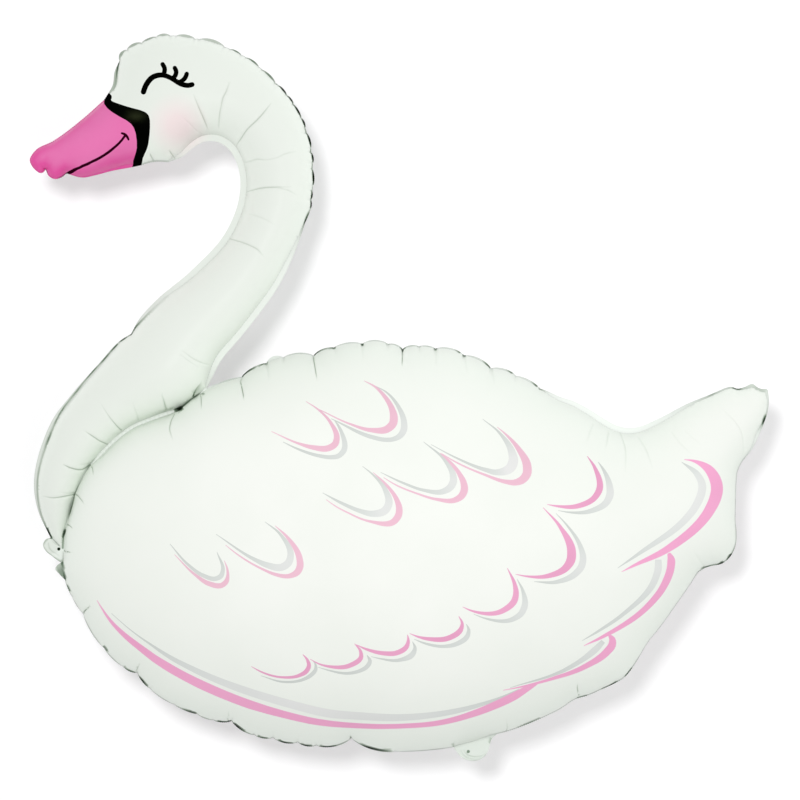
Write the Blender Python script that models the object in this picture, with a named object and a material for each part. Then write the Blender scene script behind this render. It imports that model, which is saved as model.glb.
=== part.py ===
"""A swan balloon of two foil sheets, blown up and lying on its back sheet.

Both sheets are cut to one outline and welded together round the edge, and a second weld parts the
neck and head from the body. Each solid is one sheet with its half of the gas, from the seam's plane
outward. X runs along the swan from the bill to the tail, Y up the swan, and Z through its thickness.
The floor is Z = 0.
"""

import math

import bmesh
import bpy
import numpy as np
from mathutils.geometry import delaunay_2d_cdt

# Sizes in metres
LENGTH = 0.96                # bill tip to tail, blown up
SEAM_WIDTH = 0.0075          # flat welded strip round the whole edge
WELD_WIDTH = 0.0055          # flat welded strip between the neck and the body
SEAM_THICKNESS = 0.001       # one sheet along the flat strips
FILM_GAP = 0.0003            # between the two sheets
NECK_FULLNESS = 0.95         # depth of the neck and head as a share of a round tube's
BODY_FULLNESS = 0.82         # the same for the body
REST_DENT = 0.008            # how far the back sheet is pressed flat where it lies
TAB_HOLE = 0.0034            # punched hole in each tab, across

# How finely the form is cut
EDGE_STEP = 0.0125
RINGS = [(0.003, 0.014), (0.012, 0.017)]     # distance in from the weld, and spacing along it
LATTICE = 0.026
LINE_SAMPLES = 12
HOLE_SIDES = 8
CLEAR_SHARE = 0.96

# The outline is drawn on a grid whose X runs right and Y down, as a share of the length
DRAWN_LEFT = 29.5
DRAWN_RIGHT = 769.3
GRID = LENGTH / (DRAWN_RIGHT - DRAWN_LEFT)

# Neck and head, clockwise from the foot of the weld
BREAST = [(62.7, 550), (51, 538), (45.5, 527), (35.5, 508), (33, 490), (34.5, 470), (41, 445),
          (53, 418), (71, 395), (100.4, 361.7), (115.7, 344.5), (131, 335)]
NECK_FRONT = [(131, 335), (138.6, 319.7), (153.9, 302.4), (192.2, 269.9), (226.6, 233.6),
              (238.5, 200), (239.6, 179), (235.5, 161), (227.2, 147.6), (215.6, 141),
              (205.6, 140.3), (194, 146.2), (182.4, 155.9), (168, 161)]
CHIN = [(168, 161), (154, 161), (141, 166)]
BILL_UNDER = [(141, 166), (111, 170.3), (82.2, 177), (66.4, 173.4)]
BILL_LIP = [(66.4, 173.4), (56.5, 178.6), (49, 175.5), (44.9, 169.5)]
BILL_TOP = [(44.9, 169.5), (39.9, 173), (33, 168), (29.5, 158.7), (36, 149.5), (53, 140.4),
            (84, 118), (103.7, 100.6)]
FOREHEAD = [(103.7, 100.6), (108, 93), (113, 82), (119.5, 61)]
HEAD_NOTCHES = [(119.5, 61), (127, 49), (141, 42.5), (155, 37.5), (171, 35.5), (195, 38),
                (224.5, 46.5), (234, 50)]
NECK_CREST = [(234, 50), (268, 72), (287, 95), (300, 120), (309, 150), (313.7, 180), (311, 203),
              (305, 226)]
NECK_BACK = [(305, 226), (293.5, 255), (278, 287), (259, 314), (240, 338), (221.5, 358), (207, 388)]

# Weld between neck and body, from the back down to the breast
WELD = [(207, 388), (198.6, 395), (175, 410.6), (141, 424), (109, 445), (91, 464), (75.5, 493.5),
        (65, 530), (62.7, 550)]

# Body, clockwise from the top of the weld
BACK_NOTCHES = [(207, 388), (242, 377), (283, 357.5), (314, 355), (334, 347.4), (363, 343),
                (402, 349), (435.5, 348.5), (464, 355.5), (492, 367), (516, 375.5), (540, 388.5)]
HOLLOW = [(540, 388.5), (553, 395.5), (584, 412), (614, 426), (629, 427.5), (650, 421.5),
          (672, 412), (710, 394.4), (731.5, 387), (751, 384.5)]
TAIL = [(751, 384.5), (766, 388.5), (769.3, 400), (764, 422), (753, 445.7), (740.7, 461),
        (736.5, 482.5), (736, 540.6), (731.5, 556), (722.4, 563.6), (711.6, 565.9), (698, 572.5)]
RUMP = [(698, 572.5), (676.4, 604.6), (648, 642), (631.8, 669), (615.7, 683), (576.4, 698),
        (542.5, 717), (507, 731.5), (475, 742), (454, 747)]
BELLY_NOTCHES = [(454, 747), (351, 738), (298, 744), (272, 738), (231, 721.5), (171, 703),
                 (137, 673), (83, 613), (64.6, 580)]
CHEST = [(64.6, 580), (54.5, 567.5), (61.5, 562), (62.7, 550)]

# Tabs of bare weld, each with the place of its punched hole
TIE_TAB = [(62.7, 550), (61.5, 562), (52, 556), (45.5, 550), (43, 544.5), (45.5, 538.8), (51, 537)]
TIE_HOLE = (58.5, 549)
FILLING_TAB = [(498, 733), (491, 743), (487, 753), (477, 759.3), (467, 758.8), (457, 752.5),
               (453, 745), (475, 740)]
FILLING_HOLE = (468, 751)

# Scallops that the pull of the gas puts into the outer curves
HEAD_RISE = 0.12             # height of a scallop as a share of its width
BACK_RISE = 0.13
BELLY_RISE = 0.085
CREST_RISE = 0.07
CREST_PITCH = 0.025          # width of the small scallops down the back of the neck


def to_metres(points):
    """Drawn points as metres, with Y up."""
    return np.array(points, dtype=float) * (GRID, -GRID)


def spaced(line, step):
    """The same line with points evenly spaced along it, no further apart than the step."""
    along = np.concatenate([[0], np.cumsum(np.linalg.norm(np.diff(line, axis=0), axis=1))])
    stops = np.linspace(0, along[-1], math.ceil(along[-1] / step) + 1)
    return np.column_stack([np.interp(stops, along, line[:, axis]) for axis in (0, 1)])


def smooth_line(points):
    """A line through the points, each stretch a cubic that meets the next one smoothly."""
    chords = np.diff(points, axis=0)
    lengths = np.linalg.norm(chords, axis=1)[:, None]
    slopes = chords / lengths
    joints = (slopes[:-1] * lengths[1:] + slopes[1:] * lengths[:-1]) / (lengths[:-1] + lengths[1:])
    tangents = np.vstack([slopes[:1], joints, slopes[-1:]])
    share = np.linspace(0, 1, LINE_SAMPLES, endpoint=False)[:, None]
    ease = share * share * (3 - 2 * share)
    stretches = []
    for index, chord in enumerate(chords):
        bend_in = tangents[index] * lengths[index] * share * (1 - share) ** 2
        bend_out = tangents[index + 1] * lengths[index] * share ** 2 * (share - 1)
        stretches.append(points[index] + chord * ease + bend_in + bend_out)
    return np.vstack(stretches + [points[-1:]])


def plain_edge(drawn):
    """A smooth stretch of the outline."""
    return spaced(smooth_line(to_metres(drawn)), EDGE_STEP)


def scalloped_edge(notches, rise):
    """Arcs that bulge outward from notch to notch."""
    share = np.linspace(0, 1, LINE_SAMPLES)[:, None]
    arcs = []
    for start, end in zip(notches[:-1], notches[1:]):
        chord = end - start
        outward = np.array([-chord[1], chord[0]])
        arc = start + chord * share + outward * 4 * rise * share * (1 - share)
        arcs.append(spaced(arc, EDGE_STEP))
    return joined(arcs)


def joined(lines):
    """Lines that follow each other as one, each shared end once."""
    return np.vstack([line[:-1] for line in lines] + [lines[-1][-1:]])


def gap_to(line, points):
    """Distance from each point to the nearest place on the line."""
    start = line[:-1]
    chord = line[1:] - start
    offset = points[:, None] - start
    share = np.clip((offset * chord).sum(2) / (chord * chord).sum(1), 0, 1)
    return np.linalg.norm(offset - share[..., None] * chord, axis=2).min(1)


def inside(loop, points):
    """Whether each point is within the closed loop."""
    ahead = np.roll(loop, -1, axis=0)
    across = (loop[:, 1] > points[:, None, 1]) != (ahead[:, 1] > points[:, None, 1])
    rise = np.where(ahead[:, 1] == loop[:, 1], 1, ahead[:, 1] - loop[:, 1])
    run = (points[:, None, 1] - loop[:, 1]) / rise
    crossing = loop[:, 0] + run * (ahead[:, 0] - loop[:, 0])
    return (across & (points[:, None, 0] < crossing)).sum(1) % 2 == 1


def moved_in(loop, depth):
    """A clockwise loop's points, moved inward."""
    forward = np.roll(loop, -1, axis=0) - np.roll(loop, 1, axis=0)
    inward = np.column_stack([forward[:, 1], -forward[:, 0]])
    return loop + inward / np.linalg.norm(inward, axis=1)[:, None] * depth


def chamber_loop(edge, weld):
    """Inner edge of the flat strips that close one chamber."""
    loop = np.vstack([edge[:-1], weld[:-1]])
    depths = [SEAM_WIDTH] * (len(edge) - 1) + [WELD_WIDTH / 2] * (len(weld) - 1)
    moved = moved_in(loop, np.array(depths)[:, None])
    clear_of_edge = gap_to(edge, moved) > CLEAR_SHARE * SEAM_WIDTH
    clear_of_weld = gap_to(weld, moved) > CLEAR_SHARE * WELD_WIDTH / 2
    return moved[clear_of_edge & clear_of_weld]


def points_within(chamber):
    """Rings of points near the weld, where the film turns fast, and a lattice between them."""
    closed = np.vstack([chamber, chamber[:1]])
    groups = []
    for depth, step in RINGS:
        ring = moved_in(spaced(closed, step)[:-1], depth)
        groups.append(ring[gap_to(closed, ring) > CLEAR_SHARE * depth])
    low, high = chamber.min(0), chamber.max(0)
    row_height = LATTICE * math.sqrt(3) / 2
    rows = range(math.ceil((high[1] - low[1]) / row_height))
    columns = range(math.ceil((high[0] - low[0]) / LATTICE) + 1)
    lattice = low + [((c + r % 2 / 2) * LATTICE, r * row_height) for r in rows for c in columns]
    lattice = lattice[inside(chamber, lattice)]
    last_ring = RINGS[-1][0]
    groups.append(lattice[gap_to(closed, lattice) > last_ring + LATTICE / 2])
    return np.vstack(groups)


def hole_loop(drawn_centre):
    """Round punched hole."""
    turns = np.arange(HOLE_SIDES) * 2 * math.pi / HOLE_SIDES
    ring = np.column_stack([np.cos(turns), -np.sin(turns)])
    return to_metres(drawn_centre) + ring * TAB_HOLE / 2


def cut_sheet():
    """The flat sheet as triangles: its points, its triangles and the chamber that each is in."""
    weld = plain_edge(WELD)
    crest = spaced(smooth_line(to_metres(NECK_CREST)), CREST_PITCH)
    neck_edge = joined([
        plain_edge(BREAST), plain_edge(NECK_FRONT), plain_edge(CHIN), plain_edge(BILL_UNDER),
        plain_edge(BILL_LIP), plain_edge(BILL_TOP), plain_edge(FOREHEAD),
        scalloped_edge(to_metres(HEAD_NOTCHES), HEAD_RISE), scalloped_edge(crest, CREST_RISE),
        plain_edge(NECK_BACK)])
    body_edge = joined([
        scalloped_edge(to_metres(BACK_NOTCHES), BACK_RISE), plain_edge(HOLLOW), plain_edge(TAIL),
        plain_edge(RUMP), scalloped_edge(to_metres(BELLY_NOTCHES), BELLY_RISE), plain_edge(CHEST)])
    neck = chamber_loop(neck_edge, weld)
    body = chamber_loop(body_edge, weld[::-1])
    loops = {
        "neck edge": np.vstack([neck_edge[:-1], weld[:-1]]),
        "body edge": np.vstack([body_edge[:-1], weld[:0:-1]]),
        "tie tab": plain_edge(TIE_TAB),
        "filling tab": plain_edge(FILLING_TAB),
        "tie hole": hole_loop(TIE_HOLE),
        "filling hole": hole_loop(FILLING_HOLE),
        "neck": neck,
        "body": body}
    anticlockwise = [loop[::-1] for loop in loops.values()]
    points = np.vstack(anticlockwise + [points_within(neck), points_within(body)])
    faces = []
    first = 0
    for loop in loops.values():
        faces.append(list(range(first, first + len(loop))))
        first += len(loop)
    sheet = delaunay_2d_cdt([tuple(point) for point in points], [], faces, 1, 1e-6, True)
    names = list(loops)
    triangles = []
    chambers = []
    for triangle, sources in zip(sheet[2], sheet[5]):
        within = {names[source] for source in sources}
        if not within or within & {"tie hole", "filling hole"}:
            continue
        triangles.append(list(triangle))
        chambers.append("neck" if "neck" in within else "body" if "body" in within else "strip")
    return np.array([tuple(point) for point in sheet[0]]), triangles, chambers


def film_height(points, triangles, chambers):
    """How far the gas lifts each point: round across a tube, and less round where it is broad.

    The square of the height falls off evenly from the middle to the weld, as the load on a
    stretched skin does, so it is worked out as that skin's sag.
    """
    count = len(points)
    stiffness = np.zeros((count, count))
    load = np.zeros(count)
    fullness = np.zeros(count)
    held = np.zeros(count, dtype=bool)
    for triangle, chamber in zip(triangles, chambers):
        if chamber == "strip":
            held[triangle] = True
            continue
        fullness[triangle] = NECK_FULLNESS if chamber == "neck" else BODY_FULLNESS
        corners = points[triangle]
        sides = np.roll(corners, 1, axis=0) - np.roll(corners, -1, axis=0)
        area = abs(sides[0, 0] * sides[1, 1] - sides[0, 1] * sides[1, 0]) / 2
        stiffness[np.ix_(triangle, triangle)] += sides @ sides.T / (4 * area)
        load[triangle] += area / 3
    free = np.flatnonzero((load > 0) & ~held)
    sag = np.zeros(count)
    sag[free] = np.linalg.solve(stiffness[np.ix_(free, free)], load[free])
    return fullness * np.sqrt(2 * sag)


def film_colour(name, colour, roughness):
    """Glossy printed foil."""
    material = bpy.data.materials.new(name)
    material.use_nodes = True
    shader = material.node_tree.nodes["Principled BSDF"]
    shader.inputs["Base Color"].default_value = (*colour, 1)
    shader.inputs["Roughness"].default_value = roughness
    shader.inputs["Metallic"].default_value = 0.0
    return material


def make_film(name, points, triangles, heights, side, seam_level, material, collection):
    """One sheet and its half of the gas, above the seam's plane for side 1 and below it for -1."""
    inner = seam_level + side * FILM_GAP / 2
    levels = inner + side * (SEAM_THICKNESS + heights)
    form = bmesh.new()
    corners = [form.verts.new((x, y, z)) for (x, y), z in zip(points, levels)]
    for triangle in triangles:
        form.faces.new([corners[index] for index in triangle])
    rim = [edge for edge in form.edges if edge.is_boundary]
    wall = bmesh.ops.extrude_edge_only(form, edges=rim)["geom"]
    for corner in wall:
        if isinstance(corner, bmesh.types.BMVert):
            corner.co.z = inner
    rim = [edge for edge in form.edges if edge.is_boundary]
    bmesh.ops.triangle_fill(form, edges=rim, use_beauty=True, use_dissolve=False)
    bmesh.ops.triangulate(form, faces=form.faces)
    bmesh.ops.recalc_face_normals(form, faces=form.faces)
    mesh = bpy.data.meshes.new(name)
    form.to_mesh(mesh)
    form.free()
    mesh.shade_smooth()
    mesh.set_sharp_from_angle(angle=math.radians(55))
    mesh.materials.append(material)
    film = bpy.data.objects.new(name, mesh)
    collection.objects.link(film)
    return film


def main():
    for thing in list(bpy.data.objects):
        bpy.data.objects.remove(thing, do_unlink=True)
    collection = bpy.data.collections.new("swan_foil_balloon")
    bpy.context.scene.collection.children.link(collection)

    points, triangles, chambers = cut_sheet()
    points = points - (points.min(0) + points.max(0)) / 2
    heights = film_height(points, triangles, chambers)
    pressed = np.minimum(heights, heights.max() - REST_DENT)
    seam_level = pressed.max() + SEAM_THICKNESS + FILM_GAP / 2

    front_colour = film_colour("front_film_white", (0.90, 0.92, 0.89), 0.28)
    back_colour = film_colour("back_film_white", (0.88, 0.90, 0.88), 0.30)
    make_film("front_film", points, triangles, heights, 1, seam_level, front_colour, collection)
    make_film("back_film", points, triangles, pressed, -1, seam_level, back_colour, collection)


main()
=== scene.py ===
import math

import bmesh
import bpy
import numpy as np
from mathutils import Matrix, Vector
from mathutils.bvhtree import BVHTree
from mathutils.geometry import delaunay_2d_cdt
from mathutils.kdtree import KDTree


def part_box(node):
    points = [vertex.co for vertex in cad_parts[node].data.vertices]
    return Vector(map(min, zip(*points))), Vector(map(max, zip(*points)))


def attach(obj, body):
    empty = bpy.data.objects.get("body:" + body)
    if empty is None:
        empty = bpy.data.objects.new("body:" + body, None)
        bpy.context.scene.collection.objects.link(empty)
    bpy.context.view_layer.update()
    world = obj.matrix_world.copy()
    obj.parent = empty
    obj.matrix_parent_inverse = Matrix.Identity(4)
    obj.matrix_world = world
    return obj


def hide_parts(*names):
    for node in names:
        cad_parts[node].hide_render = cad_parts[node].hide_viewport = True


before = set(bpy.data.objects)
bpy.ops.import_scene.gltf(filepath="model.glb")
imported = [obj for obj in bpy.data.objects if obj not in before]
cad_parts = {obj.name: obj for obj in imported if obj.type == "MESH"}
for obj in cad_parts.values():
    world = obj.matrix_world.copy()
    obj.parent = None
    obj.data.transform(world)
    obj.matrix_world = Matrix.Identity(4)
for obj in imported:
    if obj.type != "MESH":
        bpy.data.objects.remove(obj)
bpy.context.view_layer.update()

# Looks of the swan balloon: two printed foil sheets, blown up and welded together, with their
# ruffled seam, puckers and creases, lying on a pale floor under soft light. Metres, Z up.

# Sizes in metres, the same as the solids have
LENGTH = 0.96
NECK_FULLNESS = 0.95
BODY_FULLNESS = 0.82
TAB_HOLE = 0.0034
SEAM_WIDTH = 0.0075

# The film itself, the hair's breadth between the welded sheets, and how gently the film leaves the
# seam, most of all by the filling tab
FILM_THICKNESS = 0.0001
SHEET_GAP = 0.0003
SEAM_SOFTNESS = 0.0011
TAB_SOFTNESS = 4
TAB_SOFT_REACH = 0.028

# The back sheet's least height over the floor, and the height below which it is pressed smooth
FLOOR_CLEARANCE = 0.0004
PRESSED_EDGE = 0.006

# How far round a tab the seam stays flat, and the share of its hidden width that it hangs down
TAB_STIFF_REACH = 0.010
HANG_SHARE = 0.7

# Places are drawn on the photograph's own pixels, X right and Y down
DRAWN_LEFT = 29.5
DRAWN_RIGHT = 769.3
DRAWN_MIDDLE = np.array([399.81, 396.63])
IMAGE_SIDE = 800
PIXEL = LENGTH / (DRAWN_RIGHT - DRAWN_LEFT)
LENS = 135
SENSOR = 36

# How bright white paper is under the lamps
BRIGHTNESS = 1.155

# The small waves beside the seam: where they start, how far they reach, and how they come and go
RIPPLE_LENGTH = 0.019
RIPPLE_DEPTH = 0.00028
RIPPLE_START = 0.002
RIPPLE_REACH = 0.013
RIPPLE_SURGE = 0.013

# The weld between neck and body: its beads and half its width, how dark the beads' painted shade
# is, and how strongly and how far its valley's painted glow reaches, a stand-in for light thrown back
WELD_BEAD = 0.00095
WELD_HALF = 0.003
WELD_REACH = 0.02
BEAD_SHADE = 0.015
BEAD_SWING = 0.05
VALLEY_GLOWS = ((0.75, 0.0032), (0.25, 0.009))

# The folds that run in from the notches of the seam, as long as this in pixels, with their painted
# shade
FOLD_LENGTH = 8
FOLD_SHARE = 0.00045
DEEPEST_FOLD = 0.0014
FOLD_HALF_WIDTH = 0.0016
FOLD_SHADE = 0.03

# A crease's section in its own half widths, with a low swell beside the groove, the part of the
# groove that gets painted shade, and the depth in mm from which that shade is as dark as it gets
CREASE_ROWS = (0, -.6, .6, -1.3, 1.3, -2.4, 2.4)
CREASE_REACH = 5
SWELL_PLACE = 2.4
SWELL_HALF = 1.3
SWELL_SHARE = 0.3
DARK_HALF = 0.6
DARK_DEPTH = 0.8

# How dark the painted shade is on the flat seam, how grey each tab is and how dark the painted
# shade in its hole, the soft edge of a line of painted shade, and how far the seam's painted shade
# runs on over the film, both in pixels
SEAM_SHADE = 0.02
TAB_SHADES = {"tie": (0.05, 1), "filling": (0.1, 0.5)}
LINE_EDGE = 0.6
RIM_OVERLAP = 0.45

# How finely the film is cut, with rows of points inside its rim and rings inside the seam
EDGE_STEP = 0.0028
PRINT_STEP = 0.0028
CREASE_STEP = 0.0024
LATTICE = 0.0058
TAB_STEP = 0.0013
RIM_STEP = 0.0015
RIM_DEPTHS = (0.0006, 0.0013, 0.0021, 0.0031)
RINGS = [(0.00025, 0.0036), (0.0008, 0.0036), (0.0018, 0.0038), (0.0034, 0.0042),
         (0.0056, 0.0048), (0.0090, 0.0052), (0.0135, 0.0056)]
LINE_SAMPLES = 14
LEAST_GAP = 0.0005
SEAM_ROW = 0.0014
CLEARANCE = 0.0012
SEAM_CLEARANCE = 0.0009
TAB_CLEARANCE = 0.0006
CLEAR_SHARE = 0.93
HOLE_SIDES = 16
HOLE_RINGS = (1.35, 1.8)
HOLE_MARGIN = 1.1

# When the film's height counts as solved: what is left of the first error, and the most rounds
SOLVED_SHARE = 1e-12
MOST_ROUNDS = 5000

# The outline, clockwise: smooth stretches are (x, y, how wide the seam shows, how dark its painted
# shade is)
BREAST = [(62.7, 550, 1.6, 0), (51, 538, 1.6, .02), (45.5, 528, 2, .2), (38.3, 512, 2.6, .1),
          (34, 492, 3.2, .07), (44, 438, 4.8, .07), (53, 418.5, 4.6, .07), (71, 395, 3.8, .07),
          (100.4, 361.7, 2.8, .08), (115.7, 344.5, 2.2, .1), (121, 340, 1.2, .3), (131, 334, 1, .3)]
NECK_FRONT = [(131, 334, 1, .3), (138.6, 319.7, 3, .05), (153.9, 302.4, 3.6, .03),
              (192.2, 269.9, 6, .02), (226.6, 231, 6.4, .02), (238.7, 200, 6.4, .02),
              (240.2, 179, 6.4, .02), (236, 161, 6.6, .02), (227.5, 148, 6.8, .02),
              (216.5, 141.8, 6.8, .02), (205.6, 141.5, 6.4, .02), (194, 147.2, 5.4, .03),
              (182.4, 156.3, 4, .04), (168, 161.8, 1.4, .06)]
CHIN = [(168, 161.8, 1.2, .1), (154, 161.6, 1.2, .12), (141, 165, 1.4, .1)]
BILL_UNDER = [(141, 165, 2, 0), (131.5, 167, 2.8, 0), (111, 170.8, 2, 0), (96, 174.8, 1.4, 0),
              (82.2, 177.4, 1, 0), (66.4, 173.2, .8, 0)]
BILL_LIP = [(66.4, 173.2, .8, 0), (61, 177.3, .8, 0), (54.8, 178.9, .8, 0), (49, 176.2, .8, 0),
            (45.3, 169, .8, 0)]
BILL_TOP = [(45.3, 169, .8, 0), (43.8, 171.7, .8, 0), (40.3, 173, .8, 0), (35.6, 170.2, .8, 0),
            (29.6, 159.5, .8, 0), (34.8, 150.8, .9, 0), (52.8, 141, 1, 0), (82, 119.3, 1, 0),
            (103.7, 100, 1.2, 0)]
FOREHEAD = [(103.7, 100, 1.2, 0), (107.5, 94, 1.8, .2), (112.3, 85.5, 3.6, .24), (114.6, 71, 3.4, .26),
            (119.3, 60.5, 1, .3)]
NECK_BACK = [(304.8, 223, 1, .3), (300, 238, 2.4, .05), (293.5, 255, 4, .02), (278, 287, 5.6, .02),
             (259, 314, 6, .02), (240, 338, 6, .02), (221.5, 360, 6, .02), (207, 388, 2.5, .03)]
HOLLOW = [(540, 388.5, 1, .3), (547, 391, 2.2, .1), (558, 396, 3.6, .04), (575, 401.8, 4.6, .02),
          (590, 409.8, 5, .02), (604, 418.8, 5.4, .02), (617, 425.7, 5.4, .02), (630, 428.2, 5.4, .02),
          (642, 426, 5, .02), (655, 420.5, 4.6, .03), (690, 402.8, 2.6, .1), (712, 394, 1.6, .2),
          (724.6, 388.4, 1.6, .15)]
TAIL = [(724.6, 388.4, 1.6, .15), (731, 386.8, 1.6, .2), (738, 388.8, 1.4, .3), (744, 387.4, 2, .2),
        (753.3, 384, 3.8, .19), (758.4, 387.8, 2.2, .22), (762.9, 389.1, 2.6, .22),
        (767.3, 389, 4.2, .15), (768.8, 395, 3, .1), (767.7, 412.7, 1.8, .15), (764.4, 422.5, 1.8, .3),
        (761, 431, 3.4, .1), (752, 449.7, 2, .07), (742, 462.5, 1.2, .06), (738, 471, 1.2, .06),
        (736.6, 482.5, 1.2, .05), (736, 500, 1, .05), (735.6, 520, 1, .1), (736.7, 533, 1.2, .16),
        (736.4, 543, 1.4, .16), (732, 554.5, 1.6, .3), (727.5, 560, 1.4, .2), (722, 563.8, 1.4, .4),
        (711.6, 566, 1.4, .3), (705, 568, 1.2, .3), (698, 572.5, 1, .12)]
RUMP = [(698, 572.5, 1, .1), (690, 585, 1, .04), (676.4, 604.6, .9, .04), (660, 627.5, .9, .04),
        (648, 642.5, .9, .04), (640, 656, 1, .06), (631.8, 669, 1.4, .16), (625, 677, 1.2, .1),
        (615.7, 683, 1.4, .2), (602, 689.3, 1.2, .12), (587, 695.8, 1.2, .14), (576.4, 698.8, 1, .1),
        (560, 709.2, 1, .08), (542.5, 717.8, 1, .12), (507, 731.5, 1.1, .1), (492, 735.5, 1.2, 0),
        (475, 742, 1.4, 0), (454, 747, 1.2, .1)]
CHEST = [(64.8, 580, 1.2, .4), (60, 575, 4.5, .24), (55.3, 568, 6, .18), (58, 564.6, 4, .2),
         (61.5, 562, 1.4, .3), (62.7, 550, 1.4, .02)]

# Scalloped stretches: (x, y, how far the arc to the next notch bulges, its seam's width, how dark
# its painted shade is)
HEAD_ARCS = [(119.3, 60.5, 3.8, 3.2, .36), (126.5, 49.5, 3, 3, .3), (141.5, 42.5, 1.8, 2.2, .36),
             (156, 36.5, 2.8, 2.8, .24), (170.5, 35.5, .2, .8, .06), (176, 35.5, 2.8, 3, .22),
             (195, 38.5, .1, .6, .06), (199.5, 38.8, 3.6, 3, .22), (224.5, 46.5, .1, .6, .1),
             (230, 48.8, 1.6, 1.6, .5), (241.5, 55, .3, .9, .1), (246.5, 57.3, 1.8, 1.8, .55),
             (259, 66.8, .2, .7, .1), (262.3, 69.6, 2, 2.1, .5), (275.5, 83, .1, .9, .5),
             (278.8, 85.3, 1.4, 1.7, 1), (286.7, 95, 1.5, 1.5, 1), (293.6, 104.3, 1.4, 1.7, 1),
             (301.3, 117.7, 1.5, 1.7, 1), (305.3, 128, .1, .9, .45), (306.5, 132.6, 1.8, 1.8, 1),
             (311, 148, .1, .9, .35), (311, 152, 1.8, 1.7, 1), (312.7, 163.3, .1, .9, .35),
             (312.3, 168.8, 1.7, 1.7, 1), (313, 186, .1, .8, .2), (312.2, 190.8, 1, 1.5, 1),
             (311, 199.8, .9, 1.4, 1), (310.7, 208.6, .3, 1.3, .3), (304.8, 223, 0, 1, .3)]
BACK_ARCS = [(207, 388, .4, 2, .03), (218, 383.5, 1.2, 1.6, .12), (241.5, 377, 3, 1.6, .2),
             (266.5, 363.2, 4.4, 3.6, .08), (283, 357.5, 3.8, 1.3, .12), (313.5, 355.5, 2.8, 1.6, .2),
             (334, 347.5, 3.2, 1.2, .1), (362.3, 343.7, 4, 1.3, .1), (388, 344, 2.4, 1.4, .15),
             (402.5, 349.2, 2.6, 1.5, .17), (419, 346.4, 2, 1.3, .15), (435.5, 348.7, 4.2, 1.6, .11),
             (464, 355.4, 4, 2, .12), (491, 368.2, 3.4, 1.8, .1), (516, 375.8, 2.6, 2, .1),
             (540, 388.5, 0, 1, .1)]
BELLY_ARCS = [(454, 747, 1.6, 1.2, .1), (395, 751.6, 5, 1.6, .25), (351.2, 738.2, 4.9, 1.6, .3),
              (316.2, 745.6, 2.6, 1.6, .3), (297.7, 742.4, 3.3, 1.6, .3), (273, 737.8, 2.3, 1.5, .25),
              (254, 735, 3, 1.7, .35), (231.5, 721, 2.1, 1.7, .4), (213, 720.2, 1.5, 1.4, .2),
              (197, 714.2, 1.6, 1.5, .3), (174, 704.6, 1.8, 1.3, .16), (150, 688.8, 2, 1.7, .3),
              (137.3, 672.8, 2, 1.5, .24), (123, 666.8, 2, 1.4, .18), (104, 648.3, 2.9, 1.4, .18),
              (83, 614, 1, 1, .12), (72, 597, .8, 1, .2), (64.8, 580, 0, 1.2, .4)]
LEAST_SEAM = 0.6

# The weld between neck and body, from the nape to the breast: (x, y, width)
WELD = [(207, 388, 2.2), (200, 393.6, .9), (188, 402, .9), (178, 409.6, 1), (171, 412, 3),
        (150, 419.3, 3.4), (135, 425.6, 3.4), (122.5, 433.6, 3.4), (109.5, 445, 3.4),
        (97, 458, 2.8), (90.5, 465, 1.2), (82, 478.5, 1), (75.3, 494, 1), (70, 512, 1),
        (65, 531, 1.2), (62.7, 550, 3)]
TIE_TAB = [(62.7, 550), (61.5, 562), (52, 556), (45.5, 550.5), (43, 545), (45.5, 539.5), (51, 537.5)]
TIE_HOLE = (58.8, 549)
FILLING_TAB = [(498, 733), (491, 740), (489.5, 747), (485.5, 755.5), (478, 760.3), (469, 760.6),
               (461, 757), (456.5, 751.5), (453, 745), (475, 740)]
FILLING_HOLE = (468.3, 751.5)

# Printed feathers, each stroke drawn along its middle as (x, y, width)
UPPER_PINK = [
    [(271.5, 431.5, .6), (300, 444, 2.6), (312, 447.3, 4.5), (330, 447.6, 6.4), (335.3, 443.8, 6.6),
     (336.8, 438, 6), (331.5, 424, 3.4), (317.5, 409, 1.6), (306, 401.5, .5)],
    [(319.5, 409.7, .8), (350, 424, 2), (370, 430, 4.2), (388, 428.6, 7.6), (393, 423.5, 8.2),
     (393.8, 417, 8), (392.3, 410, 6.2), (383, 394.5, 3.6), (376, 387.5, 2.2), (364, 380.8, .5)],
    [(326, 499.5, .6), (336, 506.5, 1.2), (347, 512.3, 1.5), (369, 521.2, 2.4), (394.5, 521, 6.6),
     (398.6, 515, 7), (399.2, 508, 6.4), (397, 500.5, 5), (386.5, 485, 2.6), (373, 472.3, .5)],
    [(383.5, 477.5, .6), (394, 484, 1.3), (416, 493.2, 1.8), (437, 499.4, 3), (455, 500, 5.6),
     (461.3, 496.2, 7), (464.3, 490, 7.4), (463.5, 482.5, 6.4), (460, 475, 4.8), (448, 460, 2.4),
     (440, 453, .5)],
    [(441.5, 453.5, .6), (452, 460, 1.3), (485, 474.9, 2.4), (506, 481.8, 4.4), (515, 482.5, 6.2),
     (522.5, 479.6, 8), (526.9, 473.5, 8.8), (527, 466, 8.6), (518.5, 449, 5), (505, 433.7, 1.8),
     (497, 427, .5)],
    [(174.5, 554.5, .6), (195, 574.6, 2.6), (209, 583.6, 4.8), (222, 585.2, 5.2), (226.3, 581.6, 5),
     (227.8, 576, 3.2), (227.3, 569, 2), (224.3, 560.5, .5)],
    [(225.5, 545, .6), (235, 552.6, 1.2), (265, 570.3, 2.4), (274, 574, 3.2), (291, 575.6, 5),
     (297, 572.4, 6.6), (300, 566.5, 7), (299.7, 559.5, 6.5), (286.5, 536.3, 2.8), (275, 525.7, .5)]]
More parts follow.
